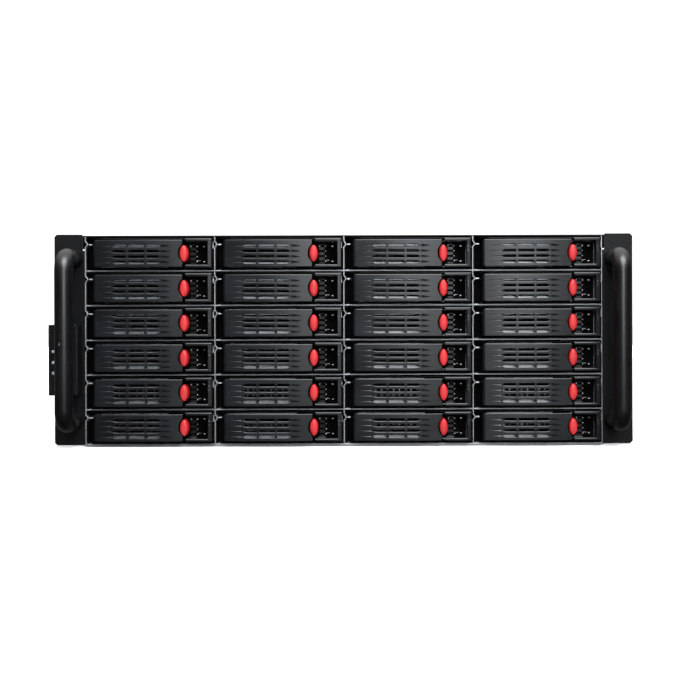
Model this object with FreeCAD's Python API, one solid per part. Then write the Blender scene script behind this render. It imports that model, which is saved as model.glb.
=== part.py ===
import FreeCAD, Part
import math
import os
from FreeCAD import Vector

# Rack-mount storage chassis, four rack units high, with a grid of hot-swap drive trays.
# Millimetres. X to the right seen from the front, Y from front to rear, Z up.
# While building, y = 0 is the front edge of the drive cage; every piece is moved to the
# middle of the whole depth when it is written.

# Rack interface
RACK_SPAN = 482.6         # across the outer edges of the ears
RACK_HOLE_IN = 8.75       # mounting slot's centre from the ear's outer edge
RACK_HOLE_PITCH = 101.6   # between the two slots of an ear
RACK_SLOT_W = 7.0
RACK_SLOT_L = 10.5
EAR_H = 175.6
EAR_LIFT = 0.4            # ear's lower edge above the underside of the chassis
EAR_OVER = 1.4            # ear's upper edge above the cover
EAR_REACH = 24.3          # ear's outer edge from the side of the chassis
EAR_T = 2.5
EAR_SET_BACK = 6.0        # ear's face behind the cage's front edge
EAR_LEG_L = 60.0
EAR_CORNER = 2.0          # flat across each outer corner of an ear
EAR_RELIEF = 1.0          # gap between an ear and the cover's skirt

# Sheet metal and general clearances
SHEET_T = 1.0
FIT = 0.3                 # free gap between pieces that must not bind
SKIRT_GAP = 0.2
COVER_GAP = 0.1
SKIRT_H = 11.0
BODY_D = 650.0
PAN_SET_BACK = 8.0        # pan's front edge behind the cage's front edge
TOP_FLANGE = 10.0
COVER_SPLIT = 250.0       # seam between the front cover and the lid
SEAM_TONGUE = 12.0
LID_LIP_H = 12.0

# Drives and their bays
COLUMNS = 4
ROWS = 6
DRIVE_L = 147.0           # length of a 3.5 inch drive
CARRIER_T = 0.8
CARRIER_SIDE_GAP = 1.2
TRAY_LIFT = 0.3
DIVIDER_T = 1.0
SHELF_T = 1.0
GUIDE_DEPTH = 2.0         # guide rib pressed out of each divider
GUIDE_HALF_H = 2.6
GUIDE_DROP = 6.3          # rib below the roof of its bay
GUIDE_OVER_WALL = 1.5     # rib above the carrier's side wall

# Tray front
FLANGE_Y = 8.0            # carrier's front flange behind the cage's front edge
FLANGE_X = 6.5
FLANGE_HEAD = 1.55        # flange below the roof of its bay
DRIVE_SET = 14.0          # nose of the drive behind the flange
CARRIER_SHORT = 2.0       # drive's tail past the end of the carrier
TONGUE_REACH = 3.4
TONGUE_T = 1.0
BAR_T = 1.6
BAR_X = 4.5
BAR_FRONT = 1.0           # bezel bars in front of the cage
BEZEL_FOOT = 0.6
BEZEL_HEAD = 0.75
FRAME_SIDE = 4.4
FRAME_GAP = 1.4           # frame to the next divider
FRAME_FRONT = 5.0
POCKET_FOOT = 4.4
POCKET_HEAD = 5.15
POCKET_WALL = 2.0
LEVER_X = 6.9
LEVER_T = 2.4
LEVER_FRONT = 5.0
LEVER_RAKE = 1.0          # free end further forward than the hinge end
LEVER_FOOT = 2.5
LEVER_HEAD = 4.05
LEVER_SHORT = 1.6         # lever's free end from the catch's centre
LEVER_GAP = 2.2           # lever's free end to the bezel's frame
PIVOT_X = 9.6
PIVOT_Y = 1.0
KNUCKLE_R = 2.4
LUG_W = 8.5
POST_R = 1.3
POST_CLEAR = 0.08
VENTS = 4
VENT_PITCH = 4.5
VENT_H = 2.0
VENT_IN = 16.6            # vents from the lever's hinge end
VENT_OUT = 18.6           # vents from the lever's free end
CATCH_IN = 24.3           # catch's centre from the right of the bay
CATCH_HALF_W = 4.0
CATCH_CLEAR = 1.5         # catch to the floor and roof of its pocket
CATCH_GAP = 0.8           # catch to the lever's notch
CATCH_PROUD = 2.0         # catch in front of the frame
CATCH_PAD_W = 16.8
CATCH_PAD_H = 9.0
CATCH_PAD_T = 2.0
CATCH_LEFT = 2.5          # pad to the left of the catch's centre
CATCH_FLATS = 4           # flats on each curved side

# Backplanes and drive sockets
SOCKET_L = 10.0
SOCKET_W = 43.0
SOCKET_H = 7.0
SOCKET_X = 20.0
SOCKET_LIFT = 3.0
SOCKET_GAP = 1.0
BOARD_T = 1.6
BOARD_EDGE = 1.5

# Handles
HANDLE_R = 7.0
HANDLE_REACH = 40.0
HANDLE_END = 13.3         # handle's ends from the ends of the ear
HANDLE_BEND = 11.0
HANDLE_INSET = 16.6       # bar's axis from the ear's outer edge
HANDLE_FLATS = 12         # flats round the bar
HANDLE_TURNS = 3          # straight steps in each bend
SCREW_HEAD_R = 4.5
SCREW_HEAD_H = 3.0

# Control box on the left ear
BOX_D = 18.0
BOX_W = 23.0
BOX_H = 58.0
BOX_FOOT = 43.0
BOX_WALL = 1.6
BUTTON_W = 8.0
BUTTON_PROUD = 1.5
BUTTON_RIM = 1.2
BUTTON_RIM_T = 1.2
BUTTON_SEAT = 0.03        # rim behind the wall it stops against
RESET_W = 4.0
BUTTON_X = 13.0           # buttons from the box's outer side
POWER_Z = 45.0
RESET_Z = 33.0
LENS_W = 2.0
LENS_X = 3.8
LENS_Z = 18.4
LENS_PITCH = 8.9
LENSES = 3
LENS_L = 3.0

# Fan wall and fans
FAN_WALL_Y = 235.0
FAN_WALL_T = 1.2
FAN_WALL_HEAD = 22.5      # top of the fan wall below the top of the cage
FAN_WALL_FOOT = 15.0
FAN_OPENING = 112.0
FAN_PITCH = 130.0
FAN_Z = 71.0
FAN_SIZE = 120.0
FAN_HUB_R = 20.0
REAR_FAN_SIZE = 80.0
REAR_FAN_HUB_R = 15.0
FAN_T = 25.0
FAN_RIM = 2.5             # thinnest wall round a fan's bore
FAN_STRUT_W = 5.0
FAN_STRUT_T = 3.0
FAN_FLATS = 16            # flats round a fan's bore
BLADES = 7
BLADE_T = 1.6
BLADE_ROOT = 0.6          # of the hub's radius, across the root of a blade
BLADE_SINK = 0.8          # of the hub's radius, where a blade's root starts
BLADE_PITCH = 35.0        # degrees
BLADE_TIP = 1.0           # blade tips to the bore

# Rear panel
REAR_FLANGE = 12.0
REAR_HEAD = 1.5
IO_W = 158.75
IO_H = 44.45
IO_IN = 25.2              # connector opening from the middle of the last card slot
IO_FOOT = 9.0
REAR_FAN_IN = 62.6        # first rear fan from the middle of the last card slot
REAR_FAN_PITCH = 84.0
REAR_FAN_Z = 112.0
PSU_W = 84.0
PSU_IN = 50.8             # middle of the supply's opening from the right wall
PSU_FOOT = 10.0
PSU_HEAD = 14.0           # supply's opening below the panel's upper edge
SLOTS = 7                 # card slots
SLOT_PITCH = 20.32
SLOT_IN = 22.8            # middle of the first card slot from the left wall
SLOT_W = 13.0
SLOT_H = 100.0
SLOT_FOOT = 14.0
COVER_W = 18.5
COVER_T = 0.9
COVER_OVER = 4.0
COVER_TAB = 11.0
SLOT_SCREW_R = 3.6
SLOT_SCREW_H = 2.0

# Lid screws and mainboard stand-offs
THUMB_X = 150.0
THUMB_HEAD_R = 5.5
THUMB_HEAD_L = 8.0
THUMB_FLATS = 12          # flats round a screw's head
STANDOFF_H = 6.5
STANDOFF_R = 3.2
BOARD_SPAN_X = 281.94     # mainboard holes, across
BOARD_STEP_X = 157.48
BOARD_SPAN_Y = 227.33     # mainboard holes, front to rear
BOARD_STEP_Y = 72.39
BOARD_IN = 98.9           # first column of stand-offs left of the last card slot
BOARD_REAR = 22.0         # rear row of stand-offs from the rear panel

# Sizes that follow from the ones above
# The bays share out the width between the ears, and the rows the height under the cover.
EAR_X = RACK_SPAN / 2
EAR_TOP = EAR_LIFT + EAR_H
EAR_MID = EAR_LIFT + EAR_H / 2
RACK_HOLE_X = EAR_X - RACK_HOLE_IN
BODY_HALF = EAR_X - EAR_REACH
WALL_HALF = BODY_HALF - SHEET_T - SKIRT_GAP
PAN_HALF = WALL_HALF - SHEET_T
CAGE_W = 2 * (PAN_HALF - FIT)
COL_PITCH = (CAGE_W - DIVIDER_T) / COLUMNS
BAY_W = COL_PITCH - DIVIDER_T
CARRIER_W = BAY_W - 2 * CARRIER_SIDE_GAP
BODY_H = EAR_TOP - EAR_OVER
COVER_Z = BODY_H - SHEET_T
CAGE_TOP = COVER_Z - COVER_GAP
SKIRT_Z = BODY_H - SKIRT_H
ROW_Z = SHEET_T + SHELF_T
ROW_PITCH = (CAGE_TOP + SHELF_T - ROW_Z) / ROWS
ROW_CLEAR = ROW_PITCH - SHELF_T
DRIVE_Y = FLANGE_Y + DRIVE_SET
CARRIER_END = DRIVE_Y + DRIVE_L - CARRIER_SHORT
CAGE_D = DRIVE_Y + DRIVE_L + SOCKET_GAP + SOCKET_L
GUIDE_Z = ROW_CLEAR - GUIDE_DROP
BEZEL_TOP = ROW_CLEAR - BEZEL_HEAD
FRAME_X1 = BAY_W - FRAME_GAP
CATCH_X = BAY_W - CATCH_IN
LEVER_X1 = CATCH_X - LEVER_SHORT
LEVER_TOP = ROW_CLEAR - LEVER_HEAD
POCKET_TOP = ROW_CLEAR - POCKET_HEAD
POCKET_MID = (POCKET_FOOT + POCKET_TOP) / 2
POCKET_BACK = FLANGE_Y - POCKET_WALL
CATCH_HALF_H = (POCKET_TOP - POCKET_FOOT) / 2 - CATCH_CLEAR
VENT_X0 = LEVER_X + VENT_IN
VENT_X1 = LEVER_X1 - VENT_OUT
VENT_MID = (LEVER_FOOT + LEVER_TOP) / 2
HANDLE_X = EAR_X - HANDLE_INSET
HANDLE_BAR_Y = EAR_SET_BACK - HANDLE_REACH + HANDLE_R
PANEL_TOP = CAGE_TOP - REAR_HEAD
SLOT_X = SLOT_IN - PAN_HALF
LAST_SLOT_X = SLOT_X + (SLOTS - 1) * SLOT_PITCH
IO_X = LAST_SLOT_X + IO_IN + IO_W / 2
REAR_FAN_X = LAST_SLOT_X + REAR_FAN_IN
PSU_X = PAN_HALF - PSU_IN
PSU_TOP = PANEL_TOP - PSU_HEAD
LID_LIP_Y = BODY_D + SKIRT_GAP
FRONT_MOST = EAR_SET_BACK - HANDLE_REACH
REAR_MOST = LID_LIP_Y + SHEET_T + THUMB_HEAD_L
MID_Y = (FRONT_MOST + REAR_MOST) / 2


# Basic solids
def block(x0, x1, y0, y1, z0, z1):
    return Part.makeBox(x1 - x0, y1 - y0, z1 - z0, Vector(x0, y0, z0))


def plan_prism(points, z0, z1):
    corners = [Vector(x, y, z0) for x, y in points]
    outline = Part.makePolygon(corners + corners[:1])
    return Part.Face(outline).extrude(Vector(0, 0, z1 - z0))


def front_prism(points, y0, y1):
    corners = [Vector(x, y0, z) for x, z in points]
    outline = Part.makePolygon(corners + corners[:1])
    return Part.Face(outline).extrude(Vector(0, y1 - y0, 0))


def side_prism(points, x0, x1):
    corners = [Vector(x0, y, z) for y, z in points]
    outline = Part.makePolygon(corners + corners[:1])
    return Part.Face(outline).extrude(Vector(x1 - x0, 0, 0))


def rod_y(r, x, z, y0, y1):
    return Part.makeCylinder(r, y1 - y0, Vector(x, y0, z), Vector(0, 1, 0))


def rod_z(r, x, y, z0, z1):
    return Part.makeCylinder(r, z1 - z0, Vector(x, y, z0), Vector(0, 0, 1))


def flat_rod_y(flats, r, x, z, y0, y1):
    turn = 2 * math.pi / flats
    points = [(x + r * math.cos(k * turn), z + r * math.sin(k * turn)) for k in range(flats)]
    return front_prism(points, y0, y1)


def lens_prism(half_w, half_h, x, z, y0, y1):
    r = (half_h ** 2 + half_w ** 2) / (2 * half_w)
    swing = math.asin(half_h / r)
    angles = [swing * (2 * k / CATCH_FLATS - 1) for k in range(CATCH_FLATS)]
    right = [(x + half_w - r + r * math.cos(a), z + r * math.sin(a)) for a in angles]
    left = [(2 * x - px, 2 * z - pz) for px, pz in right]
    return front_prism(right + left, y0, y1)


def slot_prism(length, width, x, z, y0, y1):
    r = width / 2
    half = length / 2 - r
    bar = block(x - half, x + half, y0, y1, z - r, z + r)
    ends = [rod_y(r, x - half, z, y0, y1), rod_y(r, x + half, z, y0, y1)]
    return bar.multiFuse(ends).removeSplitter()


def hex_prism(r, x, y, z0, z1):
    turn = math.pi / 3
    points = [(x + r * math.cos(k * turn), y + r * math.sin(k * turn)) for k in range(6)]
    return plan_prism(points, z0, z1)


def joined(first, *others):
    return first.multiFuse(list(others)).removeSplitter()


def less(shape, *tools):
    return shape.cut(list(tools)).removeSplitter()


def moved(shape, x, y, z):
    copy = shape.copy()
    copy.translate(Vector(x, y, z))
    return copy


def mirrored(shape):
    return shape.mirror(Vector(0, 0, 0), Vector(1, 0, 0))


def bay_x(column):
    return -CAGE_W / 2 + DIVIDER_T + column * COL_PITCH


def row_z(row):
    return ROW_Z + (ROWS - 1 - row) * ROW_PITCH


# Drive cage: dividers with a pressed guide rib for every row, and one shelf under every bay
def divider(ribbed):
    path = [(0.0, SHEET_T)]
    for row in reversed(range(ROWS if ribbed else 0)):
        z = row_z(row) + GUIDE_Z
        path += [(0.0, z - GUIDE_HALF_H), (GUIDE_DEPTH, z), (0.0, z + GUIDE_HALF_H)]
    path.append((0.0, CAGE_TOP))
    far_side = [(x + DIVIDER_T, z) for x, z in path]
    return front_prism(path + far_side[::-1], 0.0, CAGE_D)


def cage_dividers():
    walls = []
    for wall in range(COLUMNS + 1):
        sheet = divider(ribbed=wall < COLUMNS)
        walls.append(moved(sheet, bay_x(wall) - DIVIDER_T, 0, 0))
    return Part.makeCompound(walls)


def cage_shelves():
    sheets = []
    for column in range(COLUMNS):
        x = bay_x(column)
        for row in range(ROWS):
            z = row_z(row)
            sheets.append(block(x, x + BAY_W, 0, CAGE_D, z - SHELF_T, z))
    return Part.makeCompound(sheets)


# Drive tray, drawn in its own bay: x from the left divider, z from the shelf
def carrier():
    x0 = CARRIER_SIDE_GAP
    x1 = x0 + CARRIER_W
    z0 = TRAY_LIFT
    z1 = z0 + CARRIER_T
    wall_top = GUIDE_Z - GUIDE_HALF_H - GUIDE_OVER_WALL
    outer = [(x0, wall_top), (x0, z0), (x1, z0), (x1, wall_top)]
    in0 = x0 + CARRIER_T
    in1 = x1 - CARRIER_T
    inner = [(in1, wall_top), (in1, z1), (in0, z1), (in0, wall_top)]
    flange_y1 = FLANGE_Y + CARRIER_T
    pan = front_prism(outer + inner, FLANGE_Y, CARRIER_END)
    flange = block(FLANGE_X, x1, FLANGE_Y, flange_y1, z0, ROW_CLEAR - FLANGE_HEAD)
    tongue_x = GUIDE_DEPTH + FIT
    tongue_y = FLANGE_Y - TONGUE_REACH
    tongue_z = GUIDE_Z - TONGUE_T / 2
    tongue_x1 = FLANGE_X + TONGUE_T
    tongue = block(tongue_x, tongue_x1, tongue_y, flange_y1, tongue_z, tongue_z + TONGUE_T)
    half = VENT_PITCH + VENT_H / 2
    window_x0 = VENT_X0 - VENT_PITCH
    window_x1 = VENT_X1 + VENT_PITCH
    window = block(window_x0, window_x1, FLANGE_Y, flange_y1, VENT_MID - half, VENT_MID + half)
    return less(joined(pan, flange, tongue), window)


def bezel(with_post):
    top_bar = block(BAR_X, FRAME_X1, -BAR_FRONT, FLANGE_Y, BEZEL_TOP - BAR_T, BEZEL_TOP)
    foot_bar = block(BAR_X, FRAME_X1, -BAR_FRONT, FLANGE_Y, BEZEL_FOOT, BEZEL_FOOT + BAR_T)
    top_lug = block(BAR_X, BAR_X + LUG_W, -BAR_FRONT, FLANGE_Y, LEVER_TOP + FIT, BEZEL_TOP)
    foot_lug = block(BAR_X, BAR_X + LUG_W, -BAR_FRONT, FLANGE_Y, BEZEL_FOOT, LEVER_FOOT - FIT)
    frame_x = LEVER_X1 + LEVER_GAP
    frame = block(frame_x, FRAME_X1, -FRAME_FRONT, FLANGE_Y, BEZEL_FOOT, BEZEL_TOP)
    pocket = block(0, FRAME_X1 - FRAME_SIDE, -FRAME_FRONT, POCKET_BACK, POCKET_FOOT, POCKET_TOP)
    body = joined(top_bar, foot_bar, top_lug, foot_lug, less(frame, pocket))
    if with_post:
        return joined(body, rod_z(POST_R, PIVOT_X, PIVOT_Y, LEVER_FOOT - FIT, LEVER_TOP + FIT))
    return body


def lever(with_knuckle):
    def back_y(x):
        return LEVER_T - LEVER_FRONT - LEVER_RAKE * (x - LEVER_X) / (LEVER_X1 - LEVER_X)

    points = [(LEVER_X, back_y(LEVER_X)), (LEVER_X, -LEVER_FRONT)]
    points += [(LEVER_X1, -LEVER_FRONT - LEVER_RAKE), (LEVER_X1, back_y(LEVER_X1))]
    plate = plan_prism(points, LEVER_FOOT, LEVER_TOP)
    notch_w = CATCH_HALF_W + CATCH_GAP
    notch_h = CATCH_HALF_H + CATCH_GAP
    tools = [lens_prism(notch_w, notch_h, CATCH_X, POCKET_MID, -BODY_D, BODY_D)]
    for k in range(VENTS):
        z = VENT_MID + (k - (VENTS - 1) / 2) * VENT_PITCH
        tools.append(block(VENT_X0, VENT_X1, -BODY_D, BODY_D, z - VENT_H / 2, z + VENT_H / 2))
    plate = less(plate, *tools)
    left = PIVOT_X - KNUCKLE_R
    right = PIVOT_X + KNUCKLE_R
    arm_foot = [(right, back_y(right)), (left, back_y(left))]
    if not with_knuckle:
        arm = plan_prism(arm_foot + [(left, PIVOT_Y), (right, PIVOT_Y)], LEVER_FOOT, LEVER_TOP)
        return joined(plate, arm)
    corners = [Vector(x, y, LEVER_FOOT) for x, y in [(right, PIVOT_Y)] + arm_foot + [(left, PIVOT_Y)]]
    crown = Vector(PIVOT_X, PIVOT_Y + KNUCKLE_R, LEVER_FOOT)
    edges = [Part.makeLine(a, b) for a, b in zip(corners, corners[1:])]
    edges.append(Part.Arc(corners[-1], crown, corners[0]).toShape())
    arm = Part.Face(Part.Wire(edges)).extrude(Vector(0, 0, LEVER_TOP - LEVER_FOOT))
    bore = rod_z(POST_R + POST_CLEAR, PIVOT_X, PIVOT_Y, LEVER_FOOT, LEVER_TOP)
    return less(joined(plate, arm), bore)


def catch():
    pad_y = POCKET_BACK - FIT - CATCH_PAD_T
    tip_y = -FRAME_FRONT - CATCH_PROUD
    tip = lens_prism(CATCH_HALF_W, CATCH_HALF_H, CATCH_X, POCKET_MID, tip_y, pad_y)
    x = CATCH_X - CATCH_LEFT
    half = CATCH_PAD_H / 2
    pad = block(x, x + CATCH_PAD_W, pad_y, pad_y + CATCH_PAD_T, POCKET_MID - half, POCKET_MID + half)
    return joined(tip, pad)


# Backplanes, one board for each row, and a socket for each drive
def backplanes():
    boards = []
    for row in range(ROWS):
        z0 = row_z(row) + BOARD_EDGE
        z1 = row_z(row) + ROW_CLEAR - BOARD_EDGE
        boards.append(block(-CAGE_W / 2, CAGE_W / 2, CAGE_D, CAGE_D + BOARD_T, z0, z1))
    return Part.makeCompound(boards)


def drive_sockets():
    sockets = []
    for row in range(ROWS):
        z = row_z(row) + SOCKET_LIFT
        for column in range(COLUMNS):
            x = bay_x(column) + SOCKET_X
            sockets.append(block(x, x + SOCKET_W, CAGE_D - SOCKET_L, CAGE_D, z, z + SOCKET_H))
    return Part.makeCompound(sockets)


# Outer body
def base_pan():
    outer = [(-WALL_HALF, CAGE_TOP), (-WALL_HALF, 0), (WALL_HALF, 0), (WALL_HALF, CAGE_TOP)]
    inner = [(PAN_HALF, CAGE_TOP), (PAN_HALF, SHEET_T), (-PAN_HALF, SHEET_T), (-PAN_HALF, CAGE_TOP)]
    pan = front_prism(outer + inner, PAN_SET_BACK, BODY_D)
    flange_y = CAGE_D + SEAM_TONGUE
    z0 = CAGE_TOP - SHEET_T
    right = block(PAN_HALF - TOP_FLANGE, PAN_HALF, flange_y, BODY_D, z0, CAGE_TOP)
    left = block(-PAN_HALF, TOP_FLANGE - PAN_HALF, flange_y, BODY_D, z0, CAGE_TOP)
    return joined(pan, left, right)


def roof(y0, y1):
    outer = [(-BODY_HALF, SKIRT_Z), (-BODY_HALF, BODY_H), (BODY_HALF, BODY_H), (BODY_HALF, SKIRT_Z)]
    x = BODY_HALF - SHEET_T
    inner = [(x, SKIRT_Z), (x, COVER_Z), (-x, COVER_Z), (-x, SKIRT_Z)]
    return front_prism(outer + inner, y0, y1)


def front_cover():
    x = PAN_HALF - TOP_FLANGE - FIT
    y1 = COVER_SPLIT + SEAM_TONGUE
    tongue = block(-x, x, COVER_SPLIT - SEAM_TONGUE, y1, COVER_Z - SHEET_T, COVER_Z)
    return joined(roof(0, COVER_SPLIT), tongue)


def lid():
    lip_y = LID_LIP_Y + SHEET_T
    lip = block(-BODY_HALF, BODY_HALF, LID_LIP_Y, lip_y, BODY_H - LID_LIP_H, BODY_H)
    return joined(roof(COVER_SPLIT + FIT, lip_y), lip)


def lid_thumbscrews():
    y = LID_LIP_Y + SHEET_T
    z = BODY_H - LID_LIP_H / 2
    heads = [flat_rod_y(THUMB_FLATS, THUMB_HEAD_R, x, z, y, y + THUMB_HEAD_L) for x in (-THUMB_X, THUMB_X)]
    return Part.makeCompound(heads)


def rear_panel():
    y0 = BODY_D - SHEET_T
    plate = block(-PAN_HALF, PAN_HALF, y0, BODY_D, SHEET_T, PANEL_TOP)
    side = PAN_HALF - SHEET_T
    right = block(side, PAN_HALF, BODY_D - REAR_FLANGE, BODY_D, SHEET_T, PANEL_TOP)
    left = block(-PAN_HALF, -side, BODY_D - REAR_FLANGE, BODY_D, SHEET_T, PANEL_TOP)
    tools = [
        block(IO_X - IO_W / 2, IO_X + IO_W / 2, y0, BODY_D, IO_FOOT, IO_FOOT + IO_H),
        block(PSU_X - PSU_W / 2, PSU_X + PSU_W / 2, y0, BODY_D, PSU_FOOT, PSU_TOP),
    ]
    for k in range(SLOTS):
        x = SLOT_X + k * SLOT_PITCH
        tools.append(block(x - SLOT_W / 2, x + SLOT_W / 2, y0, BODY_D, SLOT_FOOT, SLOT_FOOT + SLOT_H))
    for x in rear_fan_places():
        tools.append(flat_rod_y(FAN_FLATS, REAR_FAN_SIZE / 2 - FAN_RIM, x, REAR_FAN_Z, y0, BODY_D))
    return less(joined(plate, left, right), *tools)


def slot_covers():
    y1 = BODY_D - SHEET_T
    y0 = y1 - COVER_T
    top = SLOT_FOOT + SLOT_H + COVER_OVER
    foot = SLOT_FOOT - COVER_OVER
    tab_y = y1 - COVER_TAB
    bend = [(y0, foot), (y1, foot), (y1, top), (tab_y, top), (tab_y, top - COVER_T), (y0, top - COVER_T)]
    covers = []
    for k in range(SLOTS):
        x = SLOT_X + k * SLOT_PITCH
        covers.append(side_prism(bend, x - COVER_W / 2, x + COVER_W / 2))
    return Part.makeCompound(covers)


def slot_screws():
    z = SLOT_FOOT + SLOT_H + COVER_OVER
    y = BODY_D - SHEET_T - COVER_TAB / 2
    heads = [hex_prism(SLOT_SCREW_R, SLOT_X + k * SLOT_PITCH, y, z, z + SLOT_SCREW_H) for k in range(SLOTS)]
    return Part.makeCompound(heads)


def standoffs():
    x_left = LAST_SLOT_X - BOARD_IN
    y_rear = BODY_D - SHEET_T - BOARD_REAR
    top = SHEET_T + STANDOFF_H
    posts = []
    for x in (x_left, x_left + BOARD_STEP_X, x_left + BOARD_SPAN_X):
        for y in (y_rear, y_rear - BOARD_STEP_Y, y_rear - BOARD_SPAN_Y):
            posts.append(hex_prism(STANDOFF_R, x, y, SHEET_T, top))
    return Part.makeCompound(posts)


# Ears and handles
def right_ear():
    y0 = EAR_SET_BACK
    y1 = y0 + EAR_T
    points = [(WALL_HALF, EAR_LIFT), (EAR_X - EAR_CORNER, EAR_LIFT), (EAR_X, EAR_LIFT + EAR_CORNER)]
    points += [(EAR_X, EAR_TOP - EAR_CORNER), (EAR_X - EAR_CORNER, EAR_TOP), (WALL_HALF, EAR_TOP)]
    flange = front_prism(points, y0, y1)
    leg_top = SKIRT_Z - EAR_RELIEF
    leg = block(WALL_HALF, WALL_HALF + EAR_T, y0, y1 + EAR_LEG_L, EAR_LIFT, leg_top)
    relief = block(WALL_HALF, BODY_HALF + EAR_RELIEF, y0, y1, leg_top, EAR_TOP)
    tools = [relief]
    for sign in (-1, 1):
        z = EAR_MID + sign * RACK_HOLE_PITCH / 2
        tools.append(slot_prism(RACK_SLOT_L, RACK_SLOT_W, RACK_HOLE_X, z, y0, y1))
    return less(joined(flange, leg), *tools)


def handle_feet():
    inset = HANDLE_END + HANDLE_R
    return EAR_LIFT + inset, EAR_TOP - inset


def handle():
    foot, head = handle_feet()
    bend_y = HANDLE_BAR_Y + HANDLE_BEND
    path = [(EAR_SET_BACK, head, 0.0)]
    for k in range(2 * HANDLE_TURNS + 2):
        lower = k > HANDLE_TURNS
        turn = math.pi / 2 * (k - lower) / HANDLE_TURNS
        z = foot + HANDLE_BEND if lower else head - HANDLE_BEND
        path.append((bend_y - HANDLE_BEND * math.sin(turn), z + HANDLE_BEND * math.cos(turn), turn))
    path.append((EAR_SET_BACK, foot, math.pi))
    step = 2 * math.pi / HANDLE_FLATS
    rings = []
    for y, z, turn in path:
        corners = []
        for k in range(HANDLE_FLATS):
            out = HANDLE_R * math.cos(k * step)
            x = HANDLE_X + HANDLE_R * math.sin(k * step)
            corners.append(Vector(x, y - out * math.sin(turn), z + out * math.cos(turn)))
        rings.append(Part.makePolygon(corners + corners[:1]))
    return Part.makeLoft(rings, True, True)


def handles():
    bar = handle()
    return Part.makeCompound([bar, mirrored(bar)])


def handle_screws():
    y = EAR_SET_BACK + EAR_T
    heads = []
    for z in handle_feet():
        head = flat_rod_y(THUMB_FLATS, SCREW_HEAD_R, HANDLE_X, z, y, y + SCREW_HEAD_H)
        heads += [head, mirrored(head)]
    return Part.makeCompound(heads)


# Control box on the left ear
def box_front():
    return EAR_SET_BACK - BOX_D


def button_hole(width, z):
    x = BUTTON_X - EAR_X
    half = width / 2 + FIT / 2
    y = box_front()
    return block(x - half, x + half, y, y + BOX_WALL, BOX_FOOT + z - half, BOX_FOOT + z + half)


def lens_places():
    return [BOX_FOOT + LENS_Z + k * LENS_PITCH for k in range(LENSES)]


def lens_block(z, y0, y1, grow):
    half = LENS_W / 2 + grow
    x = LENS_X - EAR_X
    return block(x - half, x + half, y0, y1, z - half, z + half)


def control_box():
    y0 = box_front()
    y1 = EAR_SET_BACK
    shell = block(-EAR_X, BOX_W - EAR_X, y0, y1, BOX_FOOT, BOX_FOOT + BOX_H)
    w = BOX_WALL
    room = block(w - EAR_X, BOX_W - w - EAR_X, y0 + w, y1, BOX_FOOT + w, BOX_FOOT + BOX_H - w)
    tools = [room, button_hole(BUTTON_W, POWER_Z), button_hole(RESET_W, RESET_Z)]
    tools += [lens_block(z, y0, y0 + w, 0) for z in lens_places()]
    return less(shell, *tools)


def push_button(width, z):
    x = BUTTON_X - EAR_X
    z = BOX_FOOT + z
    y0 = box_front()
    half = width / 2
    rim = half + BUTTON_RIM
    rim_y = y0 + BOX_WALL + BUTTON_SEAT
    cap = block(x - half, x + half, y0 - BUTTON_PROUD, rim_y, z - half, z + half)
    collar = block(x - rim, x + rim, rim_y, rim_y + BUTTON_RIM_T, z - rim, z + rim)
    return joined(cap, collar)


def status_lenses():
    y0 = box_front()
    return Part.makeCompound([lens_block(z, y0, y0 + LENS_L, 0) for z in lens_places()])


# Fans
def fan_wall():
    y1 = FAN_WALL_Y + FAN_WALL_T
    plate = block(-PAN_HALF, PAN_HALF, FAN_WALL_Y, y1, SHEET_T, CAGE_TOP - FAN_WALL_HEAD)
    foot = block(-PAN_HALF, PAN_HALF, FAN_WALL_Y - FAN_WALL_FOOT, y1, SHEET_T, SHEET_T + FAN_WALL_T)
    half = FAN_OPENING / 2
    openings = [block(x - half, x + half, FAN_WALL_Y, y1, FAN_Z - half, FAN_Z + half) for x in fan_places()]
    return less(joined(plate, foot), *openings)


def fan_places():
    return -FAN_PITCH, 0.0, FAN_PITCH


def rear_fan_places():
    return REAR_FAN_X, REAR_FAN_X + REAR_FAN_PITCH


def fan_frame(size):
    half = size / 2
    bore = flat_rod_y(FAN_FLATS, half - FAN_RIM, 0, 0, 0, FAN_T)
    shell = less(block(-half, half, 0, FAN_T, -half, half), bore)
    w = FAN_STRUT_W / 2
    y0 = FAN_T - FAN_STRUT_T
    reach = half - FAN_RIM / 2
    flat = block(-reach, reach, y0, FAN_T, -w, w)
    tall = block(-w, w, y0, FAN_T, -reach, reach)
    return joined(shell, flat, tall)


def fan_rotor(size, hub_r):
    bore = (size / 2 - FAN_RIM) * math.cos(math.pi / FAN_FLATS)
    hub_y1 = FAN_T - FAN_STRUT_T - FIT
    hub = flat_rod_y(2 * BLADES, hub_r, 0, 0, FAN_STRUT_T, hub_y1)
    middle = (FAN_STRUT_T + hub_y1) / 2
    root = BLADE_ROOT * hub_r / 2
    pitch = math.radians(BLADE_PITCH)
    half_depth = (hub_y1 - FAN_STRUT_T) / 2
    tip = (half_depth - BLADE_T / 2 * math.sin(pitch)) / math.cos(pitch)
    reach = math.sqrt((bore - BLADE_TIP) ** 2 - tip ** 2)
    sink = BLADE_SINK * hub_r
    outline = [(-root, sink), (root, sink), (tip, reach), (-tip, reach)]
    blades = []
    for k in range(BLADES):
        blade = side_prism(outline, -BLADE_T / 2, BLADE_T / 2)
        blade.rotate(Vector(0, 0, 0), Vector(0, 0, 1), BLADE_PITCH)
        blade.translate(Vector(0, middle, 0))
        blade.rotate(Vector(0, 0, 0), Vector(0, 1, 0), 360.0 * k / BLADES)
        blades.append(blade)
    return joined(hub, *blades)


def fan_frames():
    y = FAN_WALL_Y + FAN_WALL_T
    return Part.makeCompound([moved(fan_frame(FAN_SIZE), x, y, FAN_Z) for x in fan_places()])


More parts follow.
